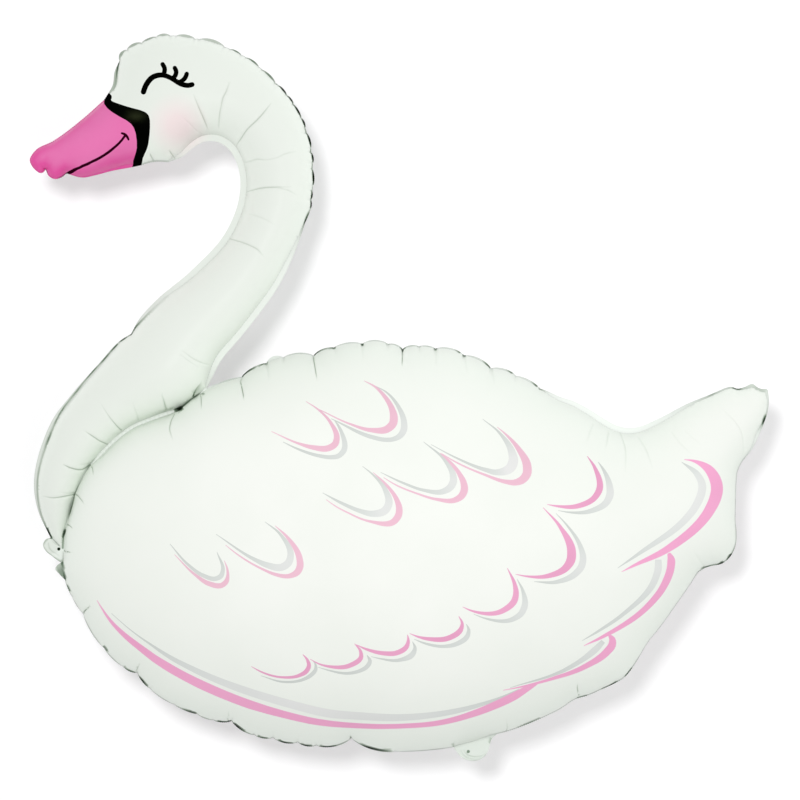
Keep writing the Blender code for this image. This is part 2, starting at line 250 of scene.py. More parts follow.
WING_PINK = [
    [(547, 504.4, .5), (556, 506, 2), (577, 506.2, 4.8), (594.6, 497.5, 6), (599, 490.5, 6.6),
     (594.3, 467, 3.2), (587, 456, .5)],
    [(515.5, 574.2, .5), (526, 576.2, 1.8), (548, 575.9, 4.6), (566.5, 567, 7.6), (570.8, 560, 9),
     (571.5, 552, 8.8), (559.5, 526, 3.4), (543, 507.5, .5)],
    [(462.5, 606.8, .5), (471, 610.5, 1.8), (501.5, 611.2, 5.2), (514.6, 600, 6.4), (516, 592.5, 5.6),
     (514.7, 584.5, 4), (507.3, 568, .5)],
    [(409.5, 633.4, .5), (419, 637, 2.2), (429, 638.9, 3.8), (448.5, 638, 5.2), (461, 629, 4.8),
     (462.2, 623.5, 3), (458.7, 616, .5)],
    [(356, 644.5, .5), (366, 649, 2.4), (386, 653.4, 4.4), (395, 653.2, 4.8), (407, 645.8, 4.6),
     (408.3, 640.5, 3), (407.5, 634.5, .5)],
    [(310, 659, .5), (320, 664.1, 1.6), (330, 666.5, 2.8), (349.5, 665.5, 4.6), (361.2, 656.5, 4.4),
     (360.5, 651, 3), (354.5, 643.5, .5)],
    [(251.3, 666.3, .5), (261, 671.5, 1.5), (281, 677, 2.2), (300, 675, 3.6), (306.5, 671, 4.6),
     (309, 665.5, 4.2), (307.5, 660, 2.8), (302.8, 654.2, .5)]]
EDGE_PINK = [
    [(97.5, 600, .5), (110, 618.7, 2.8), (150, 654.3, 6.8), (230, 696.6, 8.6), (290, 715.5, 7),
     (310, 720, 6.4), (360, 724.9, 4.9), (400, 725.4, 4.6), (440, 722.2, 5), (500, 702.6, 7.6),
     (515, 695.3, 7.8), (527, 688.2, 5.6), (537, 682.8, 2.4)],
    [(503, 690, .5), (522, 686.3, 1.6), (556, 677, 3.4), (584, 666.5, 5), (606.5, 651.5, 7.4),
     (611.8, 644.5, 7.6), (612, 639, 6.4), (609, 635, 2.5)],
    [(668.5, 553, 3), (670.8, 559, 7.4), (670.4, 567, 7.8), (662, 587.5, 7), (646, 607, 5.8),
     (601, 637.3, 3), (583.5, 645.6, .5)],
    [(684, 459.5, .5), (693, 460.8, 2.4), (710, 471, 9.4), (716.5, 488, 12), (714.5, 499, 11.6),
     (709.5, 509.5, 10.6), (668, 548.5, 7), (632, 566.3, 2.4), (621.5, 571.7, .5)]]
UPPER_GREY = [
    [(283, 442, .6), (297, 448.7, 2), (321, 456.2, 3.6), (331, 457.3, 4.2), (338.5, 456, 5),
     (343.3, 451.5, 5.6), (340.8, 430.5, 3.2), (337.6, 424.5, 2), (334.5, 420.5, .6)],
    [(331, 418.7, .6), (373, 437.4, 4.2), (384, 439.7, 4.3), (393, 439.3, 4.6), (400, 435.8, 6),
     (403.7, 430, 6.8), (404, 422.5, 6.2), (398.5, 407, 3.9), (386, 392, 1.6), (374, 385.5, .5)],
    [(322.5, 492.8, .5), (342, 503.3, 3), (362, 511.6, 4.6), (371, 513.7, 6), (385.5, 510, 8),
     (388.7, 504, 7.8), (385, 489.3, 4.8), (372.5, 474.3, 1.8), (362.5, 466.3, .5)],
    [(380.5, 472.3, .5), (402, 482.5, 2.2), (424, 490.3, 3.2), (443, 491.5, 5.8), (450, 487.6, 7.2),
     (453.3, 481.5, 7.6), (453, 475, 6.6), (445, 460.5, 3.4), (423.5, 441.8, .5)],
    [(431, 444.5, .5), (453, 456.3, 1.6), (486, 470, 4.2), (496, 472.4, 5.8), (511, 467, 10),
     (513.3, 460.5, 9.8), (512.2, 453.5, 8), (499, 432.5, 2.4), (482.5, 419, .5)],
    [(170, 544, .6), (188, 564.5, 2.6), (203, 575.4, 4), (216, 578.6, 4.6), (221, 576, 5),
     (222.8, 571, 4.2), (217, 552, .5)],
    [(216, 534.2, .5), (256, 560.2, 4), (266, 564.7, 5.6), (283, 566.8, 7.4), (288.7, 562.4, 7.4),
     (290.6, 556, 6.8), (280.5, 534.5, 2.8), (265, 521.8, .5)],
    [(558, 510.5, .5), (568, 512.2, 1.6), (590, 511.2, 4.6), (607, 501.5, 7), (610, 494, 7.6),
     (609.6, 486.5, 6.6), (603.5, 470, 2.8), (598, 462, .5)],
    [(534, 581.6, .5), (556, 582, 3.8), (575.5, 573.5, 6.6), (581.5, 566, 7), (583, 557.5, 6.5),
     (581, 548.5, 5), (565, 523, 1.6), (556, 513.5, .5)],
    [(473.5, 614, .5), (484, 618, 1.6), (513.5, 618.8, 5), (521, 613.5, 6.2), (524.6, 606, 6.4),
     (522.5, 590, 3), (517, 579, .5)],
    [(414, 639, .5), (424, 643, 2), (445, 646.2, 3.4), (455, 644.4, 4.4), (467.8, 635, 4.6),
     (468.7, 629.5, 3), (466.3, 624, .5)],
    [(371, 656.5, .5), (380, 658.5, 1.4), (399, 660, 3.4), (413, 653.5, 5.4), (415, 648, 3.4),
     (412.5, 641.5, .5)],
    [(318, 667, .5), (328, 670, 1.4), (350, 673, 3), (359.5, 670.8, 3.6), (367, 666.5, 4.4),
     (370, 661, 4), (367, 655, .5)],
    [(261, 675.5, .5), (282, 681.5, 2), (303, 679.4, 3), (311, 675, 4), (315.8, 669, 3.6),
     (315, 663, 1.5), (312.5, 660, .5)]]
EDGE_GREY = [
    [(112, 613, .5), (130, 629, 1), (150, 643.5, 2), (170, 656.8, 4), (190, 667.4, 5.2),
     (290, 703.7, 8), (330, 713, 8.2), (360, 715.5, 7.6), (400, 717.1, 6.8), (480, 704.5, 4),
     (500, 697.6, 2.6), (519, 688.6, .5)],
    [(510, 687.5, .5), (565, 669.3, 3.6), (579, 661.5, 4.8), (598, 646.5, 6), (603, 641, 4.5)],
    [(658, 559.5, 6.5), (658, 568, 7.2), (655, 578.5, 6.6), (622.5, 614.3, 3.8), (600, 629.8, 2.6),
     (582, 640.5, .5)],
    [(681.5, 462, .5), (697, 474.3, 6), (701.3, 482, 7.4), (694, 508.5, 7.6), (687, 517.3, 7.2),
     (638.5, 553.7, 3.4), (617.5, 568, .5)]]

# The face: round-ended lines as (x, y, width), and the corners of the bill and its black band
EYE_LINES = [
    [(143.6, 92, 5.5), (145.8, 86, 5.5), (153.5, 77, 5.5), (164, 75.4, 5.1), (169, 77.2, 4.9),
     (184, 85, 5.1), (188.5, 85.5, 5.1), (192.2, 84.6, 4.9)],
    [(162.8, 64.6, 4.5), (164.6, 68, 4.7), (164.6, 72, 4.7), (163, 75.5, 4.5)],
    [(174.9, 68.2, 4.5), (176.3, 71.5, 4.7), (175.5, 75.5, 4.7), (172.5, 79, 4.5)],
    [(186.8, 74, 4.5), (185.5, 77.5, 4.7), (182, 81, 4.5), (177.5, 82.5, 3.9)]]
SMILE_LINES = [
    [(125.5, 135.6, 2.3), (121, 141.5, 2.4), (109, 152.2, 2.7), (82, 167.2, 3), (73, 171.6, 3),
     (66.5, 173.6, 2.4)],
    [(122.2, 133.5, 2.1), (124.8, 134.3, 2.6), (127.3, 136.8, 2.6), (128.7, 139.6, 2.1)]]
BILL_BAND = [(103.6, 98.8), (108, 91.8), (113, 97), (111.3, 101.2), (118, 103.7), (130, 107.5),
             (140, 110), (146, 112.4), (148.9, 115.5), (150.1, 120.5), (150.3, 128), (149.8, 136),
             (148.5, 144.5), (146.4, 153), (143.4, 160), (139.5, 168), (131, 169), (133.5, 162.5),
             (135.7, 155.5), (137, 148), (137, 141), (136, 133.5), (134, 127.8), (131, 123.8),
             (127, 120.8), (120, 117), (113, 112.8), (108, 109), (105.4, 105)]
BILL_BEHIND = [(90, 84), (108, 96), (112, 104), (134, 116), (143, 130), (143, 150), (136, 175),
               (95, 192), (20, 192), (12, 150)]
BLUSH = (178, 126)
BLUSH_RADIUS = 25
# A painted sheen on the black band over the bridge, a soft olive reflection put into its colour
PAINTED_SHEEN = (136, 116)
PAINTED_SHEEN_RADIUS = 8
BILL_EDGE_REACH = 13

# Grey feathers turn paler from this width on, over this span of widths, this far from their middle
BROAD_FROM = 2
BROAD_SPAN = 7
BROAD_REACH = 6

# Creases in the blown film: (half width in mm, how dark their painted shade is, [(x, y, depth in mm)])
CREASES = [
    (.8, .5, [(241.8, 379, .4), (242, 385, 1.4), (242.6, 389, 1.6), (244, 399, .1)]),
    (.8, .45, [(313.8, 357, 1.4), (315, 363, 1.4), (316.2, 372, .9), (317, 379, .1)]),
    (.8, .45, [(402.6, 350.5, 1.6), (402.3, 357, 1.3), (402, 366, .2)]),
    (2, .05, [(491, 369, .7), (493, 378, .5), (494, 386, 0)]),
    (1, .34, [(201.3, 394, .8), (201.3, 400, 1), (201.3, 409, .1)]),
    (1.8, .05, [(266.7, 365, .8), (268, 372, .6), (269, 382, 0)]),
    (1.8, .05, [(362.3, 345.5, .8), (363, 362, 0)]),
    (1.8, .05, [(435.5, 350.5, .8), (435.7, 358, .6), (436, 368, 0)]),
    (1.8, .05, [(464, 357.5, .8), (465.5, 364, .6), (467, 374, 0)]),
    (1.1, .24, [(194, 96, .2), (201, 113, 1), (204, 120, 1.3), (207, 127.5, .5)]),
    (1.2, .17, [(229, 84, .3), (226, 92, .8), (223, 98, .9), (221, 107, .7), (219.5, 115, .8),
                (218.5, 126, .5)]),
    (1.1, .24, [(271, 104, .2), (262, 115, .9), (255, 122, 1.1), (247, 130, .8), (241, 138, .9),
                (236.5, 144, .4)]),
    (1.3, .15, [(246, 162, .4), (256, 159.5, .6), (267, 160, .3), (276, 158, .3), (286, 154, .4),
                (296, 152, .1)]),
    (1.1, .2, [(247, 191.3, .5), (256, 189, 1), (291, 187, .1)]),
    (1.2, .14, [(277, 187.6, .4), (288, 190.5, .5), (296, 195, .1)]),
    (1.5, .1, [(250, 214, .3), (262, 218, .4), (275, 225, .1)]),
    (1.2, .16, [(230, 239, .7), (240, 241.5, .9), (250, 245.5, .9), (258, 250, .7), (263, 256, .1)]),
    (1, .15, [(184, 352, .2), (192, 358, .6), (201, 362.5, .6), (209, 365, .3)]),
    (1, .14, [(182, 356, .2), (190, 362, .4), (198, 367, .1)]),
    (1.1, .14, [(184, 119, .2), (190, 124.5, .5), (196, 130, .4), (203, 134, .1)]),
    (1.2, .25, [(151, 154.5, .3), (152, 157.5, 1), (153.5, 161, .8)]),
    (1.2, .3, [(170, 151.5, .4), (172, 154.5, 1), (174.5, 158, .8)]),
    (1, .32, [(107.5, 444.4, 1.2), (100, 441.3, 1.1), (92.5, 436.2, .8), (85, 431, .1)]),
    (1, .32, [(122.6, 431.4, 1.4), (117.5, 427, .9), (111, 419, .5), (100, 402, 0)]),
    (1, .38, [(90, 464.6, 1.2), (85, 468.8, 1.2), (70, 467.8, .9), (63.5, 464.5, .2)]),
    (1, .12, [(90, 463, .8), (84, 464.8, .4), (79, 464, .05)]),
    (1, .32, [(74.6, 494.3, 1.4), (68, 495.8, 1), (50, 497.6, .5), (43, 496, .1)]),
    (1, .16, [(74.6, 492.5, .9), (67, 493.3, .5), (60, 492.5, .05)]),
    (1.5, .25, [(166.3, 409.8, 1.2), (162, 395, .2)]),
    (1.5, .16, [(138, 420, .6), (133, 403, .05)]),
    (1, .35, [(92, 466.5, 1), (92.8, 470, .9), (93.5, 475, .1)]),
    (1, .34, [(77, 494.5, .8), (80.5, 499, .9), (84, 504, .1)]),
    (1.1, .35, [(174.6, 414, .6), (171.5, 419.5, .8), (169.5, 428, .7), (172.5, 439, .1)]),
    (1, .55, [(68, 524.5, .7), (71.5, 527.3, .4)]),
    (1, .62, [(64.8, 550, .8), (67.5, 551.4, .8), (71, 552.2, .1)]),
    (1, .55, [(84, 613, 1), (86.5, 610, 1.2), (90, 606, .2)]),
    (1, .25, [(137.5, 671, 1), (138.5, 667, .9), (140.5, 662.5, .1)]),
    (1, .2, [(229, 719.5, .8), (229, 715, .6), (229, 710, .05)]),
    (1, .55, [(351, 737.5, 1.4), (351, 735, 1.2), (351, 732, .1)]),
    (1.1, .25, [(506.3, 730.5, .9), (506.5, 721, .05)]),
    (1, .34, [(577.2, 692, .8), (577, 688.5, .9), (577, 683, .05)]),
    (2, .12, [(608, 433, .5), (607, 441, .4), (605, 450, .05)]),
    (1.5, .12, [(620.5, 434, .5), (624, 443, .6), (625.5, 471, .1)]),
    (1.6, .1, [(639.5, 438.5, .4), (645, 448, .5), (652.5, 469, .05)]),
    (1.8, .07, [(672, 433, .3), (680, 443, .4), (690, 453, .1)]),
    (1.8, .05, [(685, 431, .2), (693, 438, .3), (701, 445, .05)]),
    (2, .11, [(592, 425, .3), (589, 434, .3), (586, 444, 0)]),
    (1.3, .06, [(722, 409.5, .1), (736.5, 423.5, .6), (741, 431.5, .6), (742, 449, .3),
                (740, 456, .05)]),
    (1.5, .08, [(703, 566, .4), (694, 552, .05)]),
    (.8, .18, [(463, 751, .25), (466.5, 754.8, .3), (479, 755.5, .25), (484, 752, .2)])]

# Painted shade where the seam or the film's foot turns dark: (width in pixels, [(x, y, how dark)])
DARK_LINES = [
    (1.6, [(117, 344.5, .7), (113, 349, .7), (110, 352.5, .4), (107, 356, .65), (103, 360.5, .6),
           (99, 364.8, .35), (94, 370, .6), (83, 383, .35), (78, 389.5, .5), (69.5, 400, .32),
           (63.5, 408, .5), (57, 419, .5), (53, 428, .3), (49, 438, .55), (44.5, 450, .28),
           (38.2, 475, .32), (40.5, 512, .3), (43.5, 521, .3), (45.5, 526.5, .5)]),
    (2.6, [(47, 528.8, .9), (48.8, 533, .98), (51, 537.5, .9)]),
    (1.5, [(120.5, 341.2, .6), (123.5, 339.3, .8), (126.5, 337.2, .5)]),
    (1.8, [(130.8, 334.5, .95), (132.5, 330.5, .9), (136, 326.6, .6), (151, 311.6, .2),
           (168, 296, .06)]),
    (2.2, [(91, 463, .2), (97, 456, .06), (122, 431.3, .05), (135, 423.2, .05), (150, 417, .08),
           (165, 410.6, .2), (173, 407.8, .24)]),
    (1, [(173, 414.3, .1), (165, 416.3, .08), (150, 422.3, .08), (136, 428.3, .06), (124, 436, .06),
         (100, 459, .1)]),
    (3.8, [(176, 410, .6), (178.5, 409.3, 1), (181, 408, .95)]),
    (1.6, [(181, 408, .9), (184, 405.5, .6), (188, 402, .6), (193, 398, .5), (196, 396, .6),
           (199.5, 393.5, .4)]),
    (1.5, [(193.3, 396, .8), (194.3, 392.5, .6), (200.5, 383.5, .1)]),
    (2, [(202.8, 394, .45), (204.2, 394, .45)]),
    (1.3, [(90.5, 465, .5), (86, 471.5, .2), (80.5, 482, .24), (75, 493.5, .5), (73.6, 500, .5),
           (71.3, 508.5, .7), (66, 526, .1), (65, 529.8, .4)]),
    (3, [(75, 500, .04), (70.5, 511, .13), (65.3, 528, .12), (62.8, 536, .14)]),
    (2.4, [(65, 530.4, .75), (63.9, 533.8, .95), (62.9, 537, .6)]),
    (2, [(63.3, 537, .45), (62.8, 548, .45)]),
    (1.1, [(48, 538.6, .3), (44.6, 542, .35), (43.5, 546, .2), (45.4, 550.4, .35), (50, 554.6, .4),
           (60.5, 561.3, .3)]),
    (.8, [(52.5, 540.5, .12), (55.5, 543.5, .2), (60, 546, .12)]),
    (.8, [(48.5, 543.5, .16), (49.5, 548, .2), (59, 555.5, .1)]),
    (.9, [(463.5, 747, .05), (465, 752.4, .18), (484, 754.4, .16), (488, 750, .1), (489, 744, .1)]),
    (.9, [(461, 750.5, .15), (464.5, 755.6, .2), (479, 758.8, .16), (486, 755.8, .12)]),
    (2.4, [(62.3, 563, .7), (63, 568, .45), (65, 578, .85)]),
    (5, [(59, 566.5, .3), (60, 570, .4), (62, 574, .45)]),
    (1.4, [(67.6, 585.4, .6), (69.9, 590.6, .7)]),
    (1.7, [(103.8, 646.2, .65), (107, 650.2, .65)]),
    (1.9, [(124.5, 666.7, .39), (128.5, 670.1, .65), (134.5, 672.2, .59)]),
    (2.2, [(139.5, 677.1, .65), (142.5, 680.6, .98), (147, 685.6, .65)]),
    (2, [(183.4, 709.1, .39), (190.4, 711.5, .91), (195.4, 712.7, .91)]),
    (2.2, [(218.4, 721, .78), (223.3, 722.4, .98), (230.3, 721.3, .91)]),
    (2.7, [(234.3, 723.5, .91), (238.3, 727, .98), (243.8, 730.8, .65)]),
    (1.9, [(258.3, 735.7, .52), (262.3, 737.5, .72), (267.3, 738.1, .52)]),
    (2, [(279.2, 739.9, .65), (284.2, 742.4, .98), (292.2, 743.4, .78)]),
    (2, [(301.2, 743.9, .78), (305.2, 745.2, .98), (311.2, 745.6, .65)]),
    (2, [(320.2, 746, .65), (327.2, 747, .98), (335.1, 746, .78)]),
    (2.4, [(360.5, 743.8, .3), (366, 746.4, .9), (374, 748.8, .95), (383, 750.2, .8), (391, 750.6, .3)]),
    (1.5, [(453.3, 742.4, .2), (453.4, 746, .35)]),
    (2.4, [(489.6, 742.4, .3), (490.8, 738.4, .3)]),
    (1.7, [(517.8, 727.5, .26), (527.7, 723.3, .52), (539.7, 718.1, .33)]),
    (1.7, [(577.6, 697.7, .45), (586.6, 695.5, .59)]),
    (2, [(602.6, 688.8, .52), (610.6, 685.2, .91), (616.1, 682.1, .78)]),
    (2, [(625.9, 675.6, .65), (628.6, 672.6, .85), (631.5, 668.6, .52)]),
    (1.6, [(701.4, 568.2, .4), (707, 566.6, .7), (713.4, 566.2, .5), (717.4, 565.2, .7)]),
    (2.6, [(719.4, 564.2, .85), (722.4, 562.6, .95)]),
    (3.2, [(728, 559.4, .7), (730.9, 555.3, .95)]),
    (2, [(707, 396.4, .2), (712, 394.3, .4), (717, 391.8, .2)]),
    (1.7, [(731.5, 387.2, .2), (735, 388.2, .9), (741, 388.6, .6), (743, 388, .1)]),
    (1.9, [(766.3, 413.5, .1), (764.7, 418, .9), (763.3, 422, .95), (761.8, 425.5, .2)]),
    (1.5, [(308.3, 213, .5), (304.9, 222.5, .98), (304.6, 227, .9), (303, 232, .3), (296, 250, .1)]),
    (1.9, [(242.6, 376, .95), (245.8, 372.6, .98), (255, 367.4, .4)]),
    (1.9, [(314.6, 354.6, .95), (317.6, 351.6, .95), (321, 349.6, .6), (327, 348, .3)]),
    (1.8, [(259, 366, .3), (263.5, 364, .6), (267.3, 363.2, .5)]),
    (1.8, [(329, 348.6, .3), (334.8, 347.6, .75)]),
    (1.3, [(361.8, 344.3, .9), (362.8, 344.3, .9)]),
    (1.5, [(386.5, 344, .25), (389, 344.2, .25)]),
    (1.5, [(400.5, 347.8, .5), (402.6, 350, .8), (405, 348, .5)]),
    (1.5, [(417.5, 346.4, .2), (420, 346.6, .2)]),
    (1.3, [(434.6, 348.9, .9), (436.4, 348.9, .9)]),
    (1.4, [(463, 355.3, .85), (465.2, 355.9, .85)]),
    (2.3, [(455, 348.8, .2), (459.5, 352, .6)]),
    (2.6, [(484, 361, .3), (489.3, 366.6, .8)]),
    (2.5, [(507, 369, .25), (512, 372.4, .75)]),
    (2.3, [(532, 381.6, .25), (536.5, 385.6, .7)]),
    (2.3, [(539.8, 388.6, .4), (541.3, 389, .4)]),
    (1.4, [(118.6, 62.5, .75), (117.5, 68, .85), (116.6, 75, .55), (113.8, 91, .25)]),
    (1.3, [(43.8, 168.8, .4), (45.6, 169.6, .8), (47.5, 173, .4)]),
    (1.4, [(58.5, 178.2, .5), (62, 176.6, .8), (65, 174.4, .95), (67.5, 173.4, .95)])]


def to_metres(points):
    """Pixels of the photograph as metres in the seam's plane, with Y up."""
    return (np.array(points, dtype=float) - DRAWN_MIDDLE) * (PIXEL, -PIXEL)


def spaced(line, step):
    """The same line with points evenly spaced in its first two columns."""
    gaps = np.linalg.norm(np.diff(line[:, :2], axis=0), axis=1)
    along = np.concatenate([[0], np.cumsum(gaps)])
    stops = np.linspace(0, along[-1], max(2, math.ceil(along[-1] / step) + 1))
    return np.column_stack([np.interp(stops, along, column) for column in line.T])


def smooth_line(points):
    """A line through the points, each stretch a cubic that meets the next one smoothly."""
    points = np.array(points, dtype=float)
    chords = np.diff(points, axis=0)
    lengths = np.linalg.norm(chords[:, :2], axis=1)[:, None]
    slopes = chords / lengths
    joints = (slopes[:-1] * lengths[1:] + slopes[1:] * lengths[:-1]) / (lengths[:-1] + lengths[1:])
    tangents = np.vstack([slopes[:1], joints, slopes[-1:]])
    share = np.linspace(0, 1, LINE_SAMPLES, endpoint=False)[:, None]
    ease = share * share * (3 - 2 * share)
    stretches = []
    for index, chord in enumerate(chords):
        bend_in = (tangents[index] * lengths[index] - chord) * share * (1 - share) ** 2
        bend_out = (tangents[index + 1] * lengths[index] - chord) * share ** 2 * (share - 1)
        stretches.append(points[index] + chord * share + bend_in + bend_out)
    return np.vstack(stretches + [points[-1:]])


def sideways(line):
    """Unit vectors to the left of an open line, point by point."""
    forward = np.gradient(line[:, :2], axis=0)
    left = np.column_stack([-forward[:, 1], forward[:, 0]])
    return left / np.maximum(np.linalg.norm(left, axis=1), 1e-12)[:, None]


def plain_edge(drawn):
    """A smooth stretch of the outline, in pixels: x, y, seam width, darkness of its painted shade."""
    return spaced(smooth_line(drawn), EDGE_STEP / PIXEL)


def joined(lines):
    """Lines that follow each other as one, each shared end once."""
    return np.concatenate([line[:-1] for line in lines] + [lines[-1][-1:]])


def scalloped_edge(arcs):
    """Arcs that bulge outward from notch to notch, their seam widest in the middle."""
    share = np.linspace(0, 1, LINE_SAMPLES)
    hump = (4 * share * (1 - share)) ** 0.85
    swell = np.sin(math.pi * share) ** 0.7
    lines = []
    for start, end in zip(arcs[:-1], arcs[1:]):
        notch = np.array(start[:2])
        chord = np.array(end[:2]) - notch
        rise, width, dark = start[2:]
        outward = np.array([chord[1], -chord[0]]) / np.linalg.norm(chord)
        curve = notch + chord * share[:, None] + outward * rise * hump[:, None]
        widths = LEAST_SEAM + (width - LEAST_SEAM) * swell
        darkness = dark * (0.4 + 0.6 * swell)
        lines.append(spaced(np.column_stack([curve, widths, darkness]), EDGE_STEP / PIXEL))
    return joined(lines)


def moved_in(loop, depth):
    """A clockwise loop's points, moved inward."""
    forward = np.roll(loop, -1, axis=0) - np.roll(loop, 1, axis=0)
    inward = np.column_stack([forward[:, 1], -forward[:, 0]])
    return loop + inward / np.linalg.norm(inward, axis=1)[:, None] * depth


def closed(loop):
    return np.vstack([loop, loop[:1]])


def halved(loop):
    """The same loop with a point in the middle of each of its sides."""
    return np.hstack([loop, (loop + np.roll(loop, -1, axis=0)) / 2]).reshape(-1, 2)


def anticlockwise(loop):
    ahead = np.roll(loop, -1, axis=0)
    turning = (loop[:, 0] * ahead[:, 1] - ahead[:, 0] * loop[:, 1]).sum()
    return loop if turning > 0 else loop[::-1]


def evened(values, passes):
    """Values that change gently along a loop."""
    for _ in range(passes):
        values = (np.roll(values, 1) + 2 * values + np.roll(values, -1)) / 4
    return values


def tree_of(points):
    tree = KDTree(len(points))
    for index, point in enumerate(points):
        tree.insert((point[0], point[1], 0), index)
    tree.balance()
    return tree


def nearest(tree, points):
    """Index and distance of the tree's nearest point, for each point."""
    found = [tree.find((point[0], point[1], 0))[1:] for point in points]
    return np.array([index for index, _ in found]), np.array([gap for _, gap in found])


def fine_tree(loop):
    """A tree of finely spaced points along a closed loop."""
    return tree_of(spaced(closed(loop), EDGE_STEP / 4))


def gap_from(place, points):
    return np.linalg.norm(points - place, axis=1)


def gap_to(line, points):
    """For each point, its distance to the line and how far along the line that place is."""
    start = line[:-1, :2]
    chord = line[1:, :2] - start
    length2 = np.maximum((chord * chord).sum(1), 1e-18)
    offset = points[:, None] - start
    share = np.clip((offset * chord).sum(2) / length2, 0, 1)
    gaps = np.linalg.norm(offset - share[..., None] * chord, axis=2)
    best = gaps.argmin(1)
    rows = np.arange(len(points))
    return gaps[rows, best], best + share[rows, best]


def inside(loop, points):
    """Whether each point is within the closed loop."""
    ahead = np.roll(loop, -1, axis=0)
    within = np.zeros(len(points), dtype=bool)
    for (x0, y0), (x1, y1) in zip(loop, ahead):
        if y0 == y1:
            continue
        across = (y0 > points[:, 1]) != (y1 > points[:, 1])
        within ^= across & (points[:, 0] < x0 + (points[:, 1] - y0) / (y1 - y0) * (x1 - x0))
    return within


def hole_loop(drawn_centre):
    """The edge of a tab's punched hole."""
    turns = np.arange(HOLE_SIDES) * 2 * math.pi / HOLE_SIDES
    ring = np.column_stack([np.cos(turns), np.sin(turns)])
    return to_metres(drawn_centre) + ring * TAB_HOLE / 2


class Outline:
    """The sheet's outer edges, the chambers within them, and the tabs, in metres."""

    def __init__(self):
        weld = plain_edge([(x, y, width / 2, SEAM_SHADE) for x, y, width in WELD])
        face = (BREAST, NECK_FRONT, CHIN, BILL_UNDER, BILL_LIP, BILL_TOP, FOREHEAD)
        neck_edge = joined([plain_edge(part) for part in face] +
                           [scalloped_edge(HEAD_ARCS), plain_edge(NECK_BACK)])
        body_edge = joined([scalloped_edge(BACK_ARCS), plain_edge(HOLLOW), plain_edge(TAIL),
                            plain_edge(RUMP), scalloped_edge(BELLY_ARCS), plain_edge(CHEST)])
        self.loops = {}
        for name, edge, seam in (("neck", neck_edge, weld), ("body", body_edge, weld[::-1])):
            drawn = np.vstack([edge[:-1], seam[:-1]])
            loop = to_metres(drawn[:, :2])
            depths = evened(drawn[:, 2] * PIXEL, 2)
            fine = spaced(closed(np.column_stack([loop, depths])), EDGE_STEP / 4)
            moved = moved_in(loop, depths[:, None])
            index, gap = nearest(tree_of(fine), moved)
            self.loops[name + " edge"] = halved(loop)
            self.loops[name] = moved[gap > CLEAR_SHARE * fine[index, 2]]
        self.loops["tie tab"] = to_metres(plain_edge(TIE_TAB))
        self.loops["filling tab"] = to_metres(plain_edge(FILLING_TAB))
        self.loops["tie hole"] = hole_loop(TIE_HOLE)
        self.loops["filling hole"] = hole_loop(FILLING_HOLE)
        drawn_rim = np.vstack([neck_edge, body_edge])
        self.rim = np.column_stack([to_metres(drawn_rim[:, :2]), drawn_rim[:, 2] * PIXEL,
                                    drawn_rim[:, 3]])


SEAM_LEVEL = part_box("back_film")[1].z + SHEET_GAP / 2
CAD_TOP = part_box("front_film")[1].z
CAMERA_HEIGHT = IMAGE_SIDE * PIXEL * LENS / SENSOR
CAMERA_PLACE = Vector((*to_metres((IMAGE_SIDE / 2, IMAGE_SIDE / 2)), SEAM_LEVEL + CAMERA_HEIGHT))
cad_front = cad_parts["front_film"].data
CAD_SURFACE = BVHTree.FromPolygons([v.co for v in cad_front.vertices],
                                   [p.vertices for p in cad_front.polygons])


def seen_at(drawn):
    """Where the camera sees each pixel on the blown film, as metres in plan."""
    found = []
    for x, y in to_metres(drawn):
        aim = Vector((x, y, SEAM_LEVEL)) - CAMERA_PLACE
        place = CAD_SURFACE.ray_cast(CAMERA_PLACE, aim.normalized())[0]
        found.append((place.x, place.y) if place else (x, y))
    return np.array(found)


def stroke_loop(drawn, round_ends):
    """Outline of a stroke that is drawn along its middle as (x, y, width), as seen on the film."""
    line = spaced(smooth_line(drawn), PRINT_STEP / PIXEL)
    left = sideways(line)
    half = line[:, 2:3] / 2
    one = line[:, :2] + left * half
    other = line[:, :2] - left * half
    if round_ends:
        turns = np.linspace(0, math.pi, 8)[1:-1, None]
        caps = []
        for end, across, reach in ((line[-1, :2], left[-1], half[-1]), (line[0, :2], -left[0], half[0])):
            ahead = np.array([across[1], -across[0]])
            caps.append(end + reach * (np.cos(turns) * across + np.sin(turns) * ahead))
        loop = np.vstack([one, caps[0], other[::-1], caps[1]])
    else:
        loop = np.vstack([one, other[::-1]])
    return seen_at(loop)


def printed_loops():
    """Every printed shape by its ink's name and a number, in metres in plan."""
    prints = {}
    groups = {"upper_pink": UPPER_PINK, "wing_pink": WING_PINK, "edge_pink": EDGE_PINK,
              "grey": UPPER_GREY, "edge_grey": EDGE_GREY, "black": EYE_LINES, "smile": SMILE_LINES}
    for ink, strokes in groups.items():
        for number, drawn in enumerate(strokes):
            prints[f"{ink} {number}"] = stroke_loop(drawn, ink in ("black", "smile"))
    for ink, corners, step in (("band", BILL_BAND, PRINT_STEP), ("bill", BILL_BEHIND, 3 * PRINT_STEP)):
        loop = spaced(closed(np.array(corners, dtype=float)), step / PIXEL)[:-1]
        prints[ink + " 0"] = seen_at(loop)
    return prints


